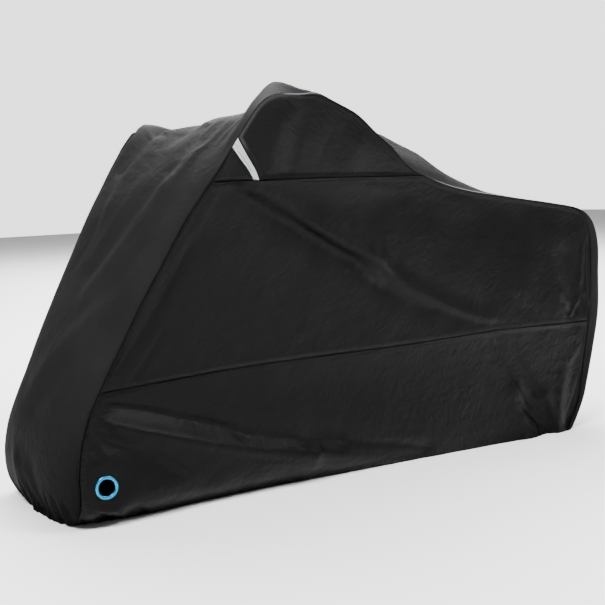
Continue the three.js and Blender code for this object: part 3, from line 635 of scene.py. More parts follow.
def strip_grid():
    """The strip without its fine creases, with the length along its middle line and its stations."""
    middle = strip_point(grid_places, np.zeros(len(grid_places)))
    run = run_of(middle)
    lines = grid_lines(run[-1], STRIP_PITCH)
    place = np.interp(lines, run, grid_places)
    turn = np.linspace(-1, 1, 601)
    dense = strip_point(place[:, None], np.broadcast_to(turn, (len(place), len(turn))))
    width = np.pad(np.cumsum(np.linalg.norm(np.diff(dense, axis=1), axis=-1), 1), ((0, 0), (1, 0)))
    mean = grid_lines(width[:, -1].mean(), STRIP_PITCH - 1)
    share = mean / mean[-1]
    near = len(NEAR_SEAM)
    rows = []
    for line, total in zip(dense, width):
        want = share * total[-1]
        want[:near], want[-near:] = NEAR_SEAM, total[-1] - NEAR_SEAM[::-1]
        want = np.sort(want)
        rows.append(np.stack([np.interp(want, total, line[:, axis]) for axis in range(3)], -1))
    return np.stack(rows), lines, place


points, strip_run, strip_place = strip_grid()
out = -outward_of(points, 1)
half = at_station(STRIP["half"], strip_place)[:, None]
along = np.broadcast_to(strip_run[:, None], points.shape[:2])
from_strip_seam = half - np.abs(points[..., 1])
broad = broad_height(along.ravel(), points[..., 1].ravel(), BROAD_STRIP).reshape(along.shape)
folded = points + out * (broad * fade(from_strip_seam, 0, 85))[..., None]
folded[..., 2] = np.maximum(folded[..., 2], points[..., 2] / 2)
folded[[0, -1], :, 2] = points[[0, -1], :, 2]
print("centre strip grid:", folded.shape, "length", round(float(strip_run[-1])), "mm")

# %% Fine creases of the strip
STRIP_CREASES = table("a1 b1 am bm a2 b2 left right h1 h2", [
    # Up the front face: the long ridge with a steep right flank, and the thin line beside it
    (670, -40, 790, -80, 905, -130, 18, 11, 2, 4), (905, -130, 1035, -185, 1230, -200, 18, 11, 4, 2),
    (1000, -190, 1085, -215, 1195, -215, 9, 16, -3, -3), (690, -95, 770, -140, 880, -200, 6, 8, -2, -2),
    (396, 80, 520, -70, 640, -180, 8, 10, 2, 1.5), (470, 75, 525, 57, 570, 35, 7, 9, 1.5, 1),
    (840, 90, 980, 60, 1110, 40, 24, 18, 3, 2), (760, 200, 900, 190, 1020, 230, 20, 20, -3, -2),
    # Below the far peak
    (1300, 150, 1330, 250, 1335, 355, 10, 13, -4, -5), (1165, 326, 1230, 350, 1305, 378, 9, 11, 2, 4),
    (1165, 300, 1235, 322, 1300, 350, 9, 10, -3, -4), (1161, 229, 1191, 222, 1225, 220, 7, 8, -2, -2),
    # Rays that run up to the near peak
    (1198, -158, 1283, -139, 1361, -153, 10, 10, 2, 4), (1206, -206, 1267, -223, 1350, -217, 9, 11, 2, 4),
    (1210, -180, 1280, -180, 1355, -185, 9, 9, -2, -3), (1335, -100, 1345, -60, 1365, -20, 9, 9, 4, 3),
    (1230, -275, 1290, -290, 1350, -310, 9, 10, 2, 3), (1240, -250, 1300, -262, 1370, -270, 8, 8, -2, -3),
    (1290, -345, 1335, -360, 1400, -368, 8, 8, 1, 2), (1300, -322, 1350, -336, 1410, -340, 8, 8, -2, -3),
    # Gathers of the front hem
    (12, -52, 40, 5, 88, 50, 6, 8, -7, -4), (6, -80, 31, -60, 60, -45, 6, 7, -7, -4),
    (0, -20, 34, 25, 76, 60, 6, 8, -7, -4), (5, -120, 34, -105, 75, -90, 7, 8, -7, -4),
    (29, -249, 51, -238, 75, -215, 7, 7, -9, -5), (0, -178, 40, -170, 80, -150, 7, 8, -9, -4),
    (0, -215, 30, -205, 66, -190, 6, 7, 7, 4), (4, 60, 40, 95, 90, 120, 8, 9, -7, -4),
    # Saddle behind the peaks, seat and tail
    (1520, -140, 1600, -60, 1690, 60, 16, 22, -3, -3), (1750, 120, 1860, 60, 1980, 80, 20, 18, 3, 2),
    (1900, -120, 2010, -90, 2140, -110, 18, 14, -3, -3), (2230, 90, 2340, 60, 2460, 90, 16, 20, 3, -2),
    (2480, -80, 2590, -60, 2700, -90, 14, 18, -3, -2), (2960, 60, 3030, 40, 3090, 70, 12, 16, -3, -3),
    (3120, 100, 3260, 60, 3400, 100, 18, 14, 3, 3), (3380, -90, 3500, -60, 3640, -120, 14, 18, -4, -3),
    (3640, 40, 3760, 20, 3860, 40, 14, 14, -4, -6), (3660, -40, 3770, -50, 3870, -60, 12, 14, 4, 5),
    (3650, 150, 3760, 160, 3870, 150, 12, 14, 3, 5), (3680, -180, 3780, -190, 3870, -190, 10, 12, -3, -5),
])


def hem_gathers(run, height, strength):
    """Ridges that the elastic draws up: two uneven rows of waves along the hem, gone 70 mm up."""
    warped = run + 9 * np.sin(run / 37) + 5 * np.sin(run / 17 + 1)
    ridges = 0.6 * np.cos(warped * 2 * np.pi / 31) + 0.4 * np.cos(warped * 2 * np.pi / 19 + 2)
    return strength * ridges * np.exp(-height / 32)


def strip_detail(sheet_points, along, from_seam):
    """The height of fine creases and of the cloth's uneven lie, less near the seams."""
    a, b = along.ravel(), sheet_points[..., 1].ravel()
    fine = crease_height(a, b, STRIP_CREASES)
    lie = waves(a, b, 11, 60, 260, 1.0) + waves(a, b, 12, 22, 60, 0.3)
    return ((fine + lie) * fade(from_seam.ravel(), 2, 45)).reshape(along.shape)


distances = edge_distances(folded)
# On the strip's grid, the front and rear edge of a panel are its left and right seam
seam_gap, _ = seam_fields(distances, ["front", "rear"])
hem_gap = np.minimum(distances["lower"], distances["upper"])
out = -outward_of(folded, 1)
height = strip_detail(folded, along, from_strip_seam) + allowance(seam_gap)
height += hem_gathers(points[..., 1], hem_gap, 3.5) * fade(seam_gap, 0, 22)
finished = folded + out * height[..., None]
# The elastic draws the far front corner of the hem in under the cover
finished[..., 0] += 26 * np.exp(-along / 42) * fade(points[..., 1], -20, 130) * fade(seam_gap, 0, 60)
for side in SIDE_WORD:
    place, _, seam_out = strip_seam_out(side)
    way = np.stack([np.interp(strip_place, place, seam_out[:, axis]) for axis in range(3)], -1)
    gap = distances["front" if side < 0 else "rear"]
    finished -= valley(gap)[..., None] * way[:, None]
finished[[0, -1], :, 2] = points[[0, -1], :, 2]
strip_uv = np.stack([along, points[..., 1]], -1)
# Over the ends of the handlebars the cloth is stretched, and a painted highlight makes it pale.
# Behind them the turned-in edge of the strip stands up along the seam, with a painted glint on it.
peak = np.exp(-(((along - 1385) / 75) ** 2)) * np.exp(-(((from_strip_seam - 26) / 46) ** 2))
edge = np.exp(-(((seam_gap - 4.5) / 2.2) ** 2))
glint_run = (fade(along, 1420, 1460) * fade(-along, -1640, -1580)
             + fade(along, 2180, 2260) * fade(-along, -2900, -2800))
strip_fields = {"seam": seam_gap * MM, "run": along * MM, "hem": hem_gap * MM,
                "pale": peak, "glint": edge * glint_run}
centre_strip = cloth_sheet("strip_cloth", finished, True, strip_fields, strip_uv)
thicken(centre_strip)
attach(centre_strip, "root")
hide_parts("centre_strip")
print("centre strip:", len(centre_strip.data.polygons), "quads")

# %% [markdown]
# ## Side panels, skirts, pockets, gussets and tape
#
# Each side has five panels. They could be modelled one by one, but then a fold would stop at each
# seam. All five are patches with the same folds laid over them, so a fold runs on across a seam.

# %% Fine creases of the sides
LEFT_CREASES = table("a1 b1 am bm a2 b2 left right h1 h2", [
    # The long fold from the handlebar down to the rear: crest, and the trough under it
    (-570, 946, -441, 898, -298, 814, 30, 12, 8, 14), (-298, 814, -162, 748, -36, 688, 34, 14, 14, 13),
    (-36, 688, 104, 594, 244, 528, 34, 16, 13, 11), (244, 528, 382, 474, 525, 440, 28, 14, 11, 4),
    (-604, 952, -538, 908, -432, 852, 10, 24, -5, -8), (-432, 852, -278, 776, -118, 688, 14, 32, -8, -9),
    (-118, 688, -74, 650, -26, 612, 16, 30, -9, -8), (-26, 612, 80, 550, 193, 500, 16, 30, -8, -4),
    (-400, 892, -360, 862, -300, 850, 8, 8, -3, -3), (-220, 800, -190, 770, -140, 770, 8, 9, -3, -3),
    (-350, 880, -300, 850, -260, 790, 9, 8, 3, 2), (-90, 760, -60, 730, -40, 690, 9, 8, -3, -2),
    # Beside the front seam: a raised band, a trough, and thin lines at its foot
    (-660, 953, -734, 816, -867, 650, 15, 15, 5, 4), (-733, 812, -808, 672, -883, 553, 16, 16, -5, -6),
    (-883, 553, -932, 486, -982, 420, 12, 12, -6, -5), (-840, 548, -896, 468, -946, 402, 8, 8, 2, 2),
    (-826, 540, -880, 462, -930, 402, 8, 8, -2, -2), (-816, 499, -867, 439, -910, 395, 8, 8, 2, 1),
    # Quiet places of the large panel
    (-182, 946, -63, 931, 77, 917, 10, 14, 2, 2), (613, 504, 651, 478, 702, 452, 30, 30, -4, -3),
    (40, 850, 80, 852, 120, 850, 50, 42, 3, 3), (350, 840, 385, 842, 420, 836, 52, 42, 3, 3),
    (680, 795, 715, 790, 750, 770, 46, 46, 3, 3), (520, 880, 640, 800, 700, 690, 30, 40, -3, -3),
    (-354, 467, -327, 449, -301, 428, 7, 9, -3, -3), (-450, 640, -400, 560, -330, 500, 34, 28, -3, -3),
    # Rear edge: a trough along the seam and zigzag wrinkles above the skirt
    (1035, 690, 1022, 600, 1005, 520, 9, 14, -6, -7), (1000, 680, 985, 600, 972, 530, 14, 12, 4, 4),
    (854, 482, 876, 451, 902, 413, 8, 9, -4, -6), (902, 413, 933, 452, 969, 495, 8, 9, 6, 6),
    (969, 495, 987, 447, 1003, 403, 7, 8, -6, -6), (1003, 403, 1012, 441, 1018, 475, 7, 7, 5, 5),
    (925, 405, 940, 430, 955, 455, 7, 8, -3, -3), (845, 520, 870, 500, 895, 470, 8, 9, 2, 3),
    # Skirt: rays from the front corner
    (-1026, 349, -898, 323, -771, 280, 6, 9, -5, -7), (-771, 280, -665, 250, -554, 199, 7, 14, -7, -6),
    (-1034, 314, -943, 275, -824, 236, 16, 9, 4, 4), (-824, 236, -670, 184, -364, 104, 24, 12, 4, 4),
    (-824, 212, -670, 160, -364, 82, 8, 14, -2, -2), (-364, 104, -280, 82, -190, 64, 20, 9, 4, 3),
    (-1059, 296, -996, 253, -915, 218, 11, 7, 4, 5),
    (-1050, 282, -985, 238, -905, 203, 8, 8, -2, -2), (-884, 199, -805, 144, -728, 93, 15, 10, 6, 3),
    (-1067, 276, -1035, 228, -986, 148, 13, 11, 5, 3), (-1060, 240, -1015, 190, -950, 130, 9, 10, -2, -2),
    # Skirt: the pressed line under its middle
    (-323, 141, -201, 125, -104, 94, 9, 10, -4, -6), (-104, 94, 38, 70, 170, 35, 8, 9, -7, -4),
    (-412, 140, -278, 97, -129, 58, 13, 11, 3, 2), (-40, 110, 60, 95, 180, 70, 16, 12, 3, 2),
    # Skirt: folds drawn together by the elastic at the rear corner
    (629, 108, 677, 53, 720, 6, 7, 8, -4, -8), (716, 113, 730, 58, 752, 11, 8, 10, -7, -12),
    (577, 326, 657, 207, 716, 98, 16, 20, -5, -9), (479, 352, 579, 195, 669, 64, 16, 12, 4, 5),
    (500, 352, 600, 195, 690, 64, 10, 12, -3, -4), (852, 234, 798, 115, 787, 13, 26, 24, 2, 6),
    (811, 17, 868, 95, 925, 190, 10, 10, -10, -5), (868, 245, 900, 270, 935, 300, 14, 12, 2, 2),
    (660, 60, 690, 35, 712, 4, 8, 8, 3, 4), (560, 90, 610, 50, 660, 10, 9, 10, -2, -4),
    (-1067, 64, -1035, 36, -990, 13, 7, 8, -7, -9), (-1085, 40, -1058, 22, -1020, 6, 7, 7, 5, 7),
    (-1010, 60, -985, 40, -950, 12, 7, 8, 5, 5), (-940, 50, -915, 30, -885, 6, 8, 9, -4, -6),
    # Pocket: soft upright lines over its foot
    (-517, 1022, -514, 1060, -508, 1100, 9, 10, 2, 1), (-462, 1000, -458, 1050, -446, 1110, 9, 10, -1, -1),
    (-375, 1000, -370, 1060, -362, 1124, 10, 12, 2, 1), (-448, 1200, -430, 1185, -412, 1165, 7, 8, -2, -2),
    (-300, 1010, -280, 1060, -250, 1110, 12, 14, -2, -2), (-470, 1205, -462, 1188, -456, 1165, 7, 7, 2, 1),
])
RIGHT_CREASES = table("a1 b1 am bm a2 b2 left right h1 h2", [
    (-540, 940, -400, 850, -250, 800, 20, 12, 3, 4), (-250, 800, -90, 720, 60, 690, 26, 14, 4, 3),
    (-570, 930, -440, 820, -290, 760, 12, 24, -3, -5), (-290, 760, -130, 690, 20, 650, 14, 24, -5, -3),
    (120, 640, 280, 560, 450, 540, 22, 16, 3, 3), (100, 600, 260, 520, 420, 500, 14, 22, -4, -2),
    (-680, 930, -770, 780, -880, 620, 14, 15, 3, 2), (-760, 770, -830, 640, -930, 480, 15, 16, -3, -4),
    (-860, 520, -910, 450, -950, 400, 8, 8, 2, 2), (200, 880, 320, 830, 430, 840, 40, 34, 3, 3),
    (560, 830, 650, 760, 720, 640, 30, 36, -3, -3), (1030, 700, 1020, 610, 1000, 540, 9, 13, -4, -4),
    (860, 500, 885, 460, 900, 415, 8, 9, -3, -4), (905, 415, 940, 460, 965, 480, 8, 9, 4, 3),
    (970, 485, 985, 440, 1000, 400, 8, 8, -4, -3), (-1030, 330, -900, 300, -760, 250, 8, 9, -3, -4),
    (-1035, 300, -930, 255, -800, 220, 10, 10, 3, 4), (-800, 220, -640, 160, -380, 130, 15, 12, 4, 3),
    (-760, 250, -650, 200, -500, 180, 9, 14, -4, -3), (-1060, 260, -1020, 200, -960, 150, 11, 12, 3, 2),
    (-260, 120, -100, 100, 60, 60, 8, 9, -4, -4), (-240, 80, -100, 60, 30, 30, 12, 10, 3, 2),
    (590, 320, 680, 190, 730, 80, 16, 18, -3, -7), (640, 110, 690, 50, 730, 8, 7, 9, -3, -7),
    (850, 240, 805, 120, 790, 15, 24, 24, 3, 8), (820, 20, 870, 100, 930, 180, 10, 10, -6, -3),
    (500, 340, 600, 200, 680, 70, 14, 13, 3, 3), (-1060, 60, -1030, 34, -985, 10, 7, 8, -4, -5),
    (-470, 1000, -460, 1050, -445, 1100, 9, 10, -2, -1), (-380, 1010, -365, 1060, -350, 1110, 10, 11, 2, 1),
])
# For each panel: its sewn edges, the pitch of its grid, the height of its allowance
PANELS = {
    "skirt_panel": (["front", "rear", "upper"], 6.5, 0.4),
    "side_panel": (["front", "rear", "lower", "upper"], 8, 0.5),
    "handlebar_pocket": (["front", "rear", "lower", "upper"], 7, 0.6),
    "front_gusset": (["front", "rear", "lower"], 6, 0.5),
    "reflective_strip": (["front", "rear", "lower", "upper"], 4, 0.3),
}


def side_detail(points, gap, side):
    """Fine creases and the uneven lie of a side, less near the strip's seam and at the lock ring."""
    a, b = points[..., 0].ravel(), points[..., 2].ravel()
    fine = crease_height(a, b, LEFT_CREASES if side < 0 else RIGHT_CREASES)
    lie = waves(a, b, 21 + side, 70, 300, 1.0) + waves(a, b, 31 + side, 22, 60, 0.3)
    middle, _ = ring_place(side)
    free = fade(np.linalg.norm(points.reshape(-1, 3) - middle, axis=1), 45, 90)
    return ((fine + lie * fade(gap.ravel(), 2, 45)) * free).reshape(points.shape[:2])


def side_sheet(side, kind, edges):
    """One panel of a side: the patch, its folds, its creases and its seams."""
    sewn, pitch, rise = PANELS[kind]
    bare = panel_grid(edges, pitch)
    folded, gap = fold_side(bare, side)
    distances = edge_distances(bare)
    seam_gap, seam_run = seam_fields(distances, sewn)
    out = outward_of(folded, -side)
    height = side_detail(folded, gap, side) * fade(seam_gap, 0, 7) + allowance(seam_gap, rise)
    if kind == "skirt_panel":
        ends = fade(-bare[..., 0], 820, 1040) + fade(bare[..., 0], 520, 760)
        pull = hem_gathers(bare[..., 0], distances["lower"], 0.5 + 3.5 * ends)
        clear = fade(np.linalg.norm(bare - ring_place(side)[0], axis=-1), 42, 80)
        height += pull * clear * fade(seam_gap, 0, 22)
    if kind == "handlebar_pocket":
        height += allowance(distances["upper"], 1.8)
    finished = folded + out * height[..., None]
    place, edge, seam_out = strip_seam_out(side)
    line = edge[:, [0, 2]]
    nearest = np.concatenate([
        ((part[:, None, [0, 2]] - line[None]) ** 2).sum(-1).argmin(1)
        for part in np.array_split(bare.reshape(-1, 3), 24)])
    share = np.exp(-((gap / 6) ** 2))[..., None]
    way = share * seam_out[nearest].reshape(bare.shape) + (1 - share) * np.array([0, side, 0])
    finished -= valley(seam_gap)[..., None] * way
    fields = {"seam": seam_gap * MM, "run": seam_run * MM}
    fields["pale"] = fields["glint"] = np.zeros_like(seam_gap)
    if kind == "handlebar_pocket":
        # A painted highlight on the raised allowance at the top of the pocket, near the peak
        high = fade(finished[..., 2], 1040, 1080) * fade(-finished[..., 0], 330, 480)
        fields["pale"] = 0.7 * high * np.exp(-(((seam_gap - 8) / 5) ** 2))
    if kind == "skirt_panel":
        finished[0, :, 2] = bare[0, :, 2]
        fields["hem"] = distances["lower"] * MM
    else:
        fields["hem"] = np.ones_like(seam_gap)
    uv = np.stack([distances["front"], distances["lower"]], -1)
    hole = (ring_place(side)[0], BARREL + HOLE_PLAY) if kind == "skirt_panel" else None
    return cloth_sheet(f"{kind}_cloth_{SIDE_WORD[side]}", finished, side > 0, fields, uv, hole)


side_sheets = {}
for side in SIDE_WORD:
    for kind, edges in side_edges(side).items():
        side_sheets[kind, side] = side_sheet(side, kind, edges)
        print(side_sheets[kind, side].name, len(side_sheets[kind, side].data.polygons), "quads")

# %% [markdown]
# ## Lock rings
#
# The ring is two pressed plates of aluminium with the skirt's cloth between them. A torus would be
# too round. A profile turned round an axis has the plates' flat backs and their rounded faces.

# %% Lock rings
# Millimetres: thickness of a plate, gap to the cloth, and thickness of the skirt's solid between
PLATE, FIT, CLOTH_SOLID = 2.0, 0.3, 2.0
RING_SIDES = 96


def ring_mesh(name, middle, out):
    """A closed profile turned round the ring's axis. Its face is a bow: the radius goes with a cosine
    and the height with a sine to a power under 1, so that it is flat on top and round at its rims."""
    s = np.linspace(0, np.pi, 13)
    front_r = (BORE + FLANGE) / 2 + (FLANGE - BORE) / 2 * np.cos(s)
    front_h = FIT + 0.5 + (PLATE + 1.6) * np.sin(s) ** 0.7
    back_r, back_h = front_r[::-1], -CLOTH_SOLID - front_h[::-1] * 0.75
    rim = FLANGE - 0.6
    radius = np.concatenate([[rim], front_r, back_r, [rim, BARREL, BARREL]])
    height = np.concatenate([[FIT], front_h, back_h, [-CLOTH_SOLID - FIT, -CLOTH_SOLID - FIT, FIT]])
    turn = np.arange(RING_SIDES) * 2 * np.pi / RING_SIDES
    side_way = np.cross(out, [0, 0, 1])
    side_way /= np.linalg.norm(side_way)
    up_way = np.cross(side_way, out)
    round_way = np.cos(turn)[:, None] * side_way + np.sin(turn)[:, None] * up_way
    points = middle + radius[None, :, None] * round_way[:, None] + height[None, :, None] * out
    index = np.arange(points[..., 0].size).reshape(points.shape[:2])
    after, beside = np.roll(index, -1, 0), np.roll(index, -1, 1)
    both = np.roll(after, -1, 1)
    quads = np.stack([index, beside, both, after], -1).reshape(-1, 4)
    mesh = bpy.data.meshes.new(name)
    mesh.from_pydata((points.reshape(-1, 3) * MM).tolist(), [], quads.tolist())
    mesh.polygons.foreach_set("use_smooth", np.ones(len(quads), bool))
    mesh.update()
    ring = bpy.data.objects.new(name, mesh)
    bpy.context.scene.collection.objects.link(ring)
    return ring


rings = {}
for side, word in SIDE_WORD.items():
    rings[side] = ring_mesh(f"lock_ring_metal_{word}", *ring_place(side))
    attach(rings[side], "root")
    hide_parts(f"lock_ring_{word}")
    print(rings[side].name, len(rings[side].data.polygons), "quads")

# %% Thickness, the body each cloth piece hangs on, and the solid it replaces
for (kind, side), sheet in side_sheets.items():
    if kind == "front_gusset":
        # The gusset runs out in one point, where its grid's upper line has no length
        build = bmesh.new()
        build.from_mesh(sheet.data)
        bmesh.ops.remove_doubles(build, verts=build.verts, dist=0.05 * MM)
        build.to_mesh(sheet.data)
        build.free()
    thicken(sheet)
    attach(sheet, "root")
    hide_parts(f"{kind}_{SIDE_WORD[side]}")
print("cloth sheets of the sides:", len(side_sheets))

# %% [markdown]
# ## Materials
#
# The cover is polyester in plain weave with a coating. It is black with a satin sheen: the coating
# gives wide soft highlights, and the threads break them up. Weave, stitches and the smallest
# crumples could be modelled, but they are under a millimetre high, so a bump is enough.

# %% Colour and node helpers
def linear(hex_colour):
    """An sRGB hex colour as linear red, green, blue and alpha."""
    value = int(hex_colour.lstrip("#"), 16)
    srgb = np.array([value >> 16 & 255, value >> 8 & 255, value & 255]) / 255
    rgb = np.where(srgb <= 0.04045, srgb / 12.92, ((srgb + 0.055) / 1.055) ** 2.4)
    return (*rgb.tolist(), 1.0)


def new_material(name):
    """A material with nodes, and its shader."""
    material = bpy.data.materials.new(name)
    material.use_nodes = True
    return material, material.node_tree.nodes["Principled BSDF"]


def add(tree, kind, output, inputs=None, **settings):
    """Adds a node with its settings and inputs, which are numbers or other nodes' outputs, and
    returns one of its outputs."""
    node = tree.nodes.new("ShaderNode" + kind)
    for name, value in settings.items():
        setattr(node, name, value)
    for name, value in (inputs or {}).items():
        if isinstance(value, bpy.types.NodeSocket):
            tree.links.new(value, node.inputs[name])
        else:
            node.inputs[name].default_value = value
    return node.outputs[output]


print("black of the coating:", [round(v, 4) for v in linear("#0a0a0a")])

# %% Measures of the cloth's relief
# Real threads lie 0.3 mm apart. At this distance they wouldn't show, so they are drawn 1 mm apart.
THREAD = 1.0
# Millimetres: length of a stitch with its gap, distance of the stitches from the seam, half a row
STITCH_LENGTH, STITCH_AT, STITCH_HALF = 4.5, 6.0, 0.6
# How often a pattern repeats in a metre
CRUMPLES, PATCHES, PUCKERS, GATHERS, PLEATS = 50.0, 5.0, 75.0, 95.0, 210.0
# Heights in mm, of which noise leaves a half or less
WEAVE_HIGH, CRUMPLE_HIGH, STITCH_HIGH, PUCKER_HIGH, GATHER_HIGH = 0.06, 8, 0.5, 8, 9
# A wave texture with a scale of 1 repeats every 0.314 units
WAVE_REPEAT = 0.314


def cloth_relief(tree, uv, across, patches):
    """Height in metres, a sum of reliefs. Threads are two waves, and crumples are noise in patches.
    Stitches are dashes beside a seam. Puckers and gathers are noise along a seam or the hem. The
    measures seam, run and hem are attributes of the cloth's mesh, in metres."""
    seam, run, hem = (add(tree, "Attribute", "Fac", attribute_name=name)
                      for name in ("seam", "run", "hem"))
    scale = WAVE_REPEAT / (THREAD * MM)
    warp = add(tree, "TexWave", "Fac", {"Vector": uv, "Scale": scale}, bands_direction="X")
    weft = add(tree, "TexWave", "Fac", {"Vector": uv, "Scale": scale}, bands_direction="Y")
    weave = add(tree, "Math", "Value", {0: warp, 1: weft}, operation="ADD")
    noise = add(tree, "TexNoise", "Fac",
                {"Vector": uv, "Scale": CRUMPLES, "Detail": 6.0, "Roughness": 0.62})
    crumple = add(tree, "Math", "Value", {0: noise, 1: patches}, operation="MULTIPLY")
    row = add(tree, "Math", "Value", {0: seam, 1: STITCH_AT * MM, 2: STITCH_HALF * MM},
              operation="COMPARE")
    count = add(tree, "Math", "Value", {0: run, 1: STITCH_LENGTH * MM}, operation="DIVIDE")
    part = add(tree, "Math", "Value", {0: count}, operation="FRACT")
    dash = add(tree, "Math", "Value", {0: part, 1: 0.72}, operation="LESS_THAN")
    stitch = add(tree, "Math", "Value", {0: row, 1: dash}, operation="MULTIPLY")
    reliefs = [(weave, WEAVE_HIGH), (crumple, CRUMPLE_HIGH), (stitch, STITCH_HIGH)]
    # Puckers are gone 22 mm from a seam, gathers 50 mm above the hem
    for where, times, gap, end, start, high in ((run, PUCKERS, seam, 22, 2, PUCKER_HIGH),
                                                (across, GATHERS, hem, 50, 0, GATHER_HIGH)):
        place = add(tree, "Math", "Value", {0: where, 1: times}, operation="MULTIPLY")
        noise = add(tree, "TexNoise", "Fac", {"W": place, "Detail": 2.0}, noise_dimensions="1D")
        close = add(tree, "MapRange", "Result", {"Value": gap, "From Min": end * MM,
                                                 "From Max": start * MM},
                    interpolation_type="SMOOTHSTEP")
        ridges = add(tree, "Math", "Value", {0: noise, 1: close}, operation="MULTIPLY")
        reliefs.append((ridges, high))
    height = 0.0
    for relief, high in reliefs:
        height = add(tree, "Math", "Value", {0: relief, 1: high * MM, 2: height},
                     operation="MULTIPLY_ADD")
    return height


print("thread pitch:", THREAD, "mm, stitch:", STITCH_LENGTH, "mm")


# %% Colour of the cloth
def cloth_colour(tree, base, light, across, patches):
    """Two blacks in patches, painted shade at the drawn hem and in a seam, painted highlights where
    stretched.
    """
    seam, hem, painted_highlight, glint = (add(tree, "Attribute", "Fac", attribute_name=name)
                                 for name in ("seam", "hem", "pale", "glint"))
    # Near the hem the elastic draws the cloth together into gathers, and the colour is darkened there:
    # painted shade of the gathers
    drawn = add(tree, "MapRange", "Result", {"Value": hem, "From Min": 0.5, "From Max": 0.0,
                                             "To Min": 0.0, "To Max": 0.75},
                interpolation_type="SMOOTHSTEP")
    # Over the peaks the colour is lightened in fine streaks: a painted highlight on the stretched cloth
    place = add(tree, "Math", "Value", {0: across, 1: PLEATS}, operation="MULTIPLY")
    pleats = add(tree, "TexNoise", "Fac", {"W": place, "Detail": 1.0}, noise_dimensions="1D")
    sharp = add(tree, "Math", "Value", {0: pleats, 1: 2.6, 2: -0.6}, operation="MULTIPLY_ADD")
    pale = add(tree, "Math", "Value", {0: painted_highlight, 1: sharp}, operation="MULTIPLY")
    # The stitched valley of a seam, 2 mm to each side, lies in shadow
    deep = add(tree, "MapRange", "Result", {"Value": seam, "From Min": 0.0028, "From Max": 0.0012})
    colour = linear(base)
    # Over the cloth's own two blacks: painted shade at the hem, painted highlights (pale, glint), painted
    # shade in the seam
    for share, over in ((patches, light), (drawn, "#040404"), (pale, "#505050"),
                        (glint, "#8d9298"), (deep, "#020202")):
        colour = add(tree, "MixRGB", "Color", {"Fac": share, "Color1": colour, "Color2": linear(over)})
    return colour


print("pleats in a metre of stretched cloth:", PLEATS)


# %% Coated polyester
def polyester(name, base, light, roughness, ior, across_hem):
    """Woven polyester with a soft coating. Across the hem is the direction of the map in which the
    hem runs on, so the gathers follow each other along it."""
    material, shader = new_material(name)
    tree = material.node_tree
    uv = add(tree, "UVMap", "UV", uv_map="cloth_metres")
    across = add(tree, "SeparateXYZ", across_hem, {"Vector": uv})
    patches = add(tree, "TexNoise", "Fac", {"Vector": uv, "Scale": PATCHES, "Detail": 2.0})
    height = cloth_relief(tree, uv, across, patches)
    bump = add(tree, "Bump", "Normal", {"Strength": 0.8, "Distance": 1.0, "Height": height})
    tree.links.new(bump, shader.inputs["Normal"])
    tree.links.new(cloth_colour(tree, base, light, across, patches), shader.inputs["Base Color"])
    shader.inputs["Roughness"].default_value = roughness
    shader.inputs["IOR"].default_value = ior
    shader.inputs["Specular IOR Level"].default_value = 0.5
    return material


# Polyester has an IOR of 1.6, but threads and crumples smaller than the drawn ones scatter most of
# its gloss. So the IOR is matched to how little these cloths shine: the strip even less.
# The sides and the strip are one cloth: the strip's paler blacks are painted light, as it faces the light
# from the front and above, and the sides' deeper blacks painted shade.
side_polyester = polyester("coated_polyester_side_painted_darker", "#050505", "#0a0a0a", 0.4, 1.18, "X")
strip_polyester = polyester("coated_polyester_strip_painted_lighter", "#161616", "#212121", 0.55, 1.05, "Y")
print("cloth finishes:", side_polyester.name, strip_polyester.name)

# %% [markdown]
# ## Tape and rings
#
# Reflective tape is a film of glass beads over silver. It looks pale grey from every side, because
# the beads scatter light. Anodising leaves aluminium a metal, tinted blue, with a soft gloss.

# %% Reflective tape
# Real beads are 0.05 mm wide. They are drawn 1 mm wide, so that they show as a fine grain.
BEADS, WEAR = 900.0, 30.0
tape, shader = new_material("glass_bead_reflective_tape")
tree = tape.node_tree
uv = add(tree, "UVMap", "UV", uv_map="cloth_metres")
beads = add(tree, "TexVoronoi", "Distance", {"Vector": uv, "Scale": BEADS})
wear = add(tree, "TexNoise", "Fac", {"Vector": uv, "Scale": WEAR, "Detail": 3.0})
silver = add(tree, "MixRGB", "Color", {"Fac": wear, "Color1": linear("#8f9296"),
                                       "Color2": linear("#d3d6da")})
tree.links.new(silver, shader.inputs["Base Color"])
bump = add(tree, "Bump", "Normal", {"Strength": 0.3, "Distance": 0.0003, "Height": beads})
tree.links.new(bump, shader.inputs["Normal"])
shader.inputs["Roughness"].default_value = 0.42
shader.inputs["Metallic"].default_value = 0.35
print("tape:", tape.name)

# %% Anodised aluminium
anodised, shader = new_material("blue_anodised_aluminium")
shader.inputs["Base Color"].default_value = linear("#2484b0")
shader.inputs["Metallic"].default_value = 1.0
shader.inputs["Roughness"].default_value = 0.3
print("ring:", anodised.name)

# %% Finishes on their pieces
centre_strip.data.materials.append(strip_polyester)
for (kind, side), sheet in side_sheets.items():
    sheet.data.materials.append(tape if kind == "reflective_strip" else side_polyester)
for ring in rings.values():
    ring.data.materials.append(anodised)
print("pieces with a finish:", 1 + len(side_sheets) + len(rings))

# %% [markdown]
# ## Floor, light and camera
#
# The photograph was taken from the front left, a little above the middle of the cover. Its light is
# wide and soft: most of it comes from the left above, and some from the front. Behind the cover a
# bright wall is part of the world's light, so that no real wall can throw a shadow on the floor.

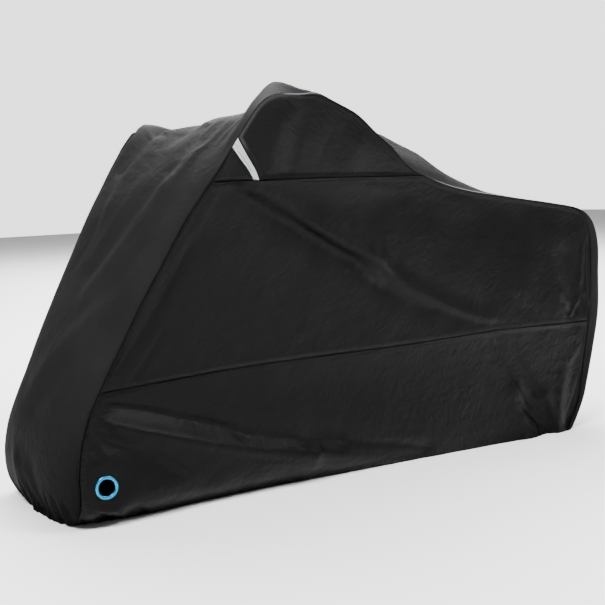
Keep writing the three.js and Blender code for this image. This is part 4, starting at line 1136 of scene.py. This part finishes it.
# %% Floor
# Metres: length of a side, and its place just under the hem
FLOOR_SIZE, FLOOR_Z = 40, -0.0006
far = FLOOR_SIZE / 2
corners = [(-far, -far, FLOOR_Z), (far, -far, FLOOR_Z), (far, far, FLOOR_Z), (-far, far, FLOOR_Z)]
floor_mesh = bpy.data.meshes.new("studio_floor")
floor_mesh.from_pydata(corners, [], [(0, 1, 2, 3)])
floor = bpy.data.objects.new("studio_floor", floor_mesh)
bpy.context.scene.collection.objects.link(floor)
paper, shader = new_material("pale_studio_paper")
shader.inputs["Base Color"].default_value = linear("#fafafa")
shader.inputs["Roughness"].default_value = 0.9
floor_mesh.materials.append(paper)
print("floor:", FLOOR_SIZE, "m")

# %% Bright wall in a dim room
# Strength of the room and of the wall, and the direction in which the wall lies
ROOM_GLOW, WALL_GLOW, WALL_WAY = 0.3, 2.4, (0.56, 0.83, 0.0)
world = bpy.data.worlds.new("studio")
bpy.context.scene.world = world
world.use_nodes = True
tree = world.node_tree
sky_way = add(tree, "TexCoord", "Generated")
nearness = add(tree, "VectorMath", "Value", {0: sky_way, 1: WALL_WAY}, operation="DOT_PRODUCT")
glow = add(tree, "MapRange", "Result", {"Value": nearness, "From Min": 0.72, "From Max": 0.95,
                                        "To Min": ROOM_GLOW, "To Max": WALL_GLOW},
           interpolation_type="SMOOTHSTEP")
background = tree.nodes["Background"]
background.inputs["Color"].default_value = (1, 1, 1, 1)
tree.links.new(glow, background.inputs["Strength"])
print("glow of the wall:", WALL_GLOW)


# %% Softboxes
def softbox(name, place, target, size, power):
    """A square area light at a place in m, turned to a target, with its size in m and power in W."""
    light = bpy.data.lights.new(name, "AREA")
    light.shape = "SQUARE"
    light.size = size
    light.energy = power
    lamp = bpy.data.objects.new(name, light)
    lamp.location = place
    lamp.rotation_euler = (Vector(target) - Vector(place)).to_track_quat("-Z", "Y").to_euler()
    bpy.context.scene.collection.objects.link(lamp)


softbox("key_softbox", (-2.6, -1.7, 3.6), (-0.2, 0, 0.6), 1.2, 300)
softbox("side_softbox", (1.5, -2.9, 3.7), (0, -0.3, 0.4), 1.6, 240)
softbox("overhead_softbox", (0.9, 2.4, 4.2), (0.5, 1.2, 0), 4.0, 520)
softbox("floor_softbox", (4.2, 6.4, 5.0), (3.6, 5.4, 0), 6.0, 1500)

# %% Camera
# Measured from the photograph: focal length in pixels of a 605 pixel frame, place in m, and angles
FOCAL_PIXELS, FRAME_PIXELS = 1109, 605
CAMERA_PLACE = Vector((-2.267, -3.14, 0.955))
YAW, PITCH, ROLL = np.radians([34.2, 6.2, -2.0])
view = Vector((np.sin(YAW) * np.cos(PITCH), np.cos(YAW) * np.cos(PITCH), -np.sin(PITCH)))
right = Vector((np.cos(YAW), -np.sin(YAW), 0))
up = right.cross(view)
rolled_right = right * np.cos(ROLL) + up * np.sin(ROLL)
rolled_up = up * np.cos(ROLL) - right * np.sin(ROLL)
camera = bpy.data.objects.new("camera", bpy.data.cameras.new("camera"))
camera.data.sensor_width = 36
camera.data.lens = FOCAL_PIXELS / FRAME_PIXELS * 36
camera.matrix_world = Matrix.Translation(CAMERA_PLACE) @ Matrix(
    (rolled_right, rolled_up, -view)).transposed().to_4x4()
bpy.context.scene.collection.objects.link(camera)
bpy.context.scene.camera = camera
print("lens:", round(camera.data.lens, 1), "mm")
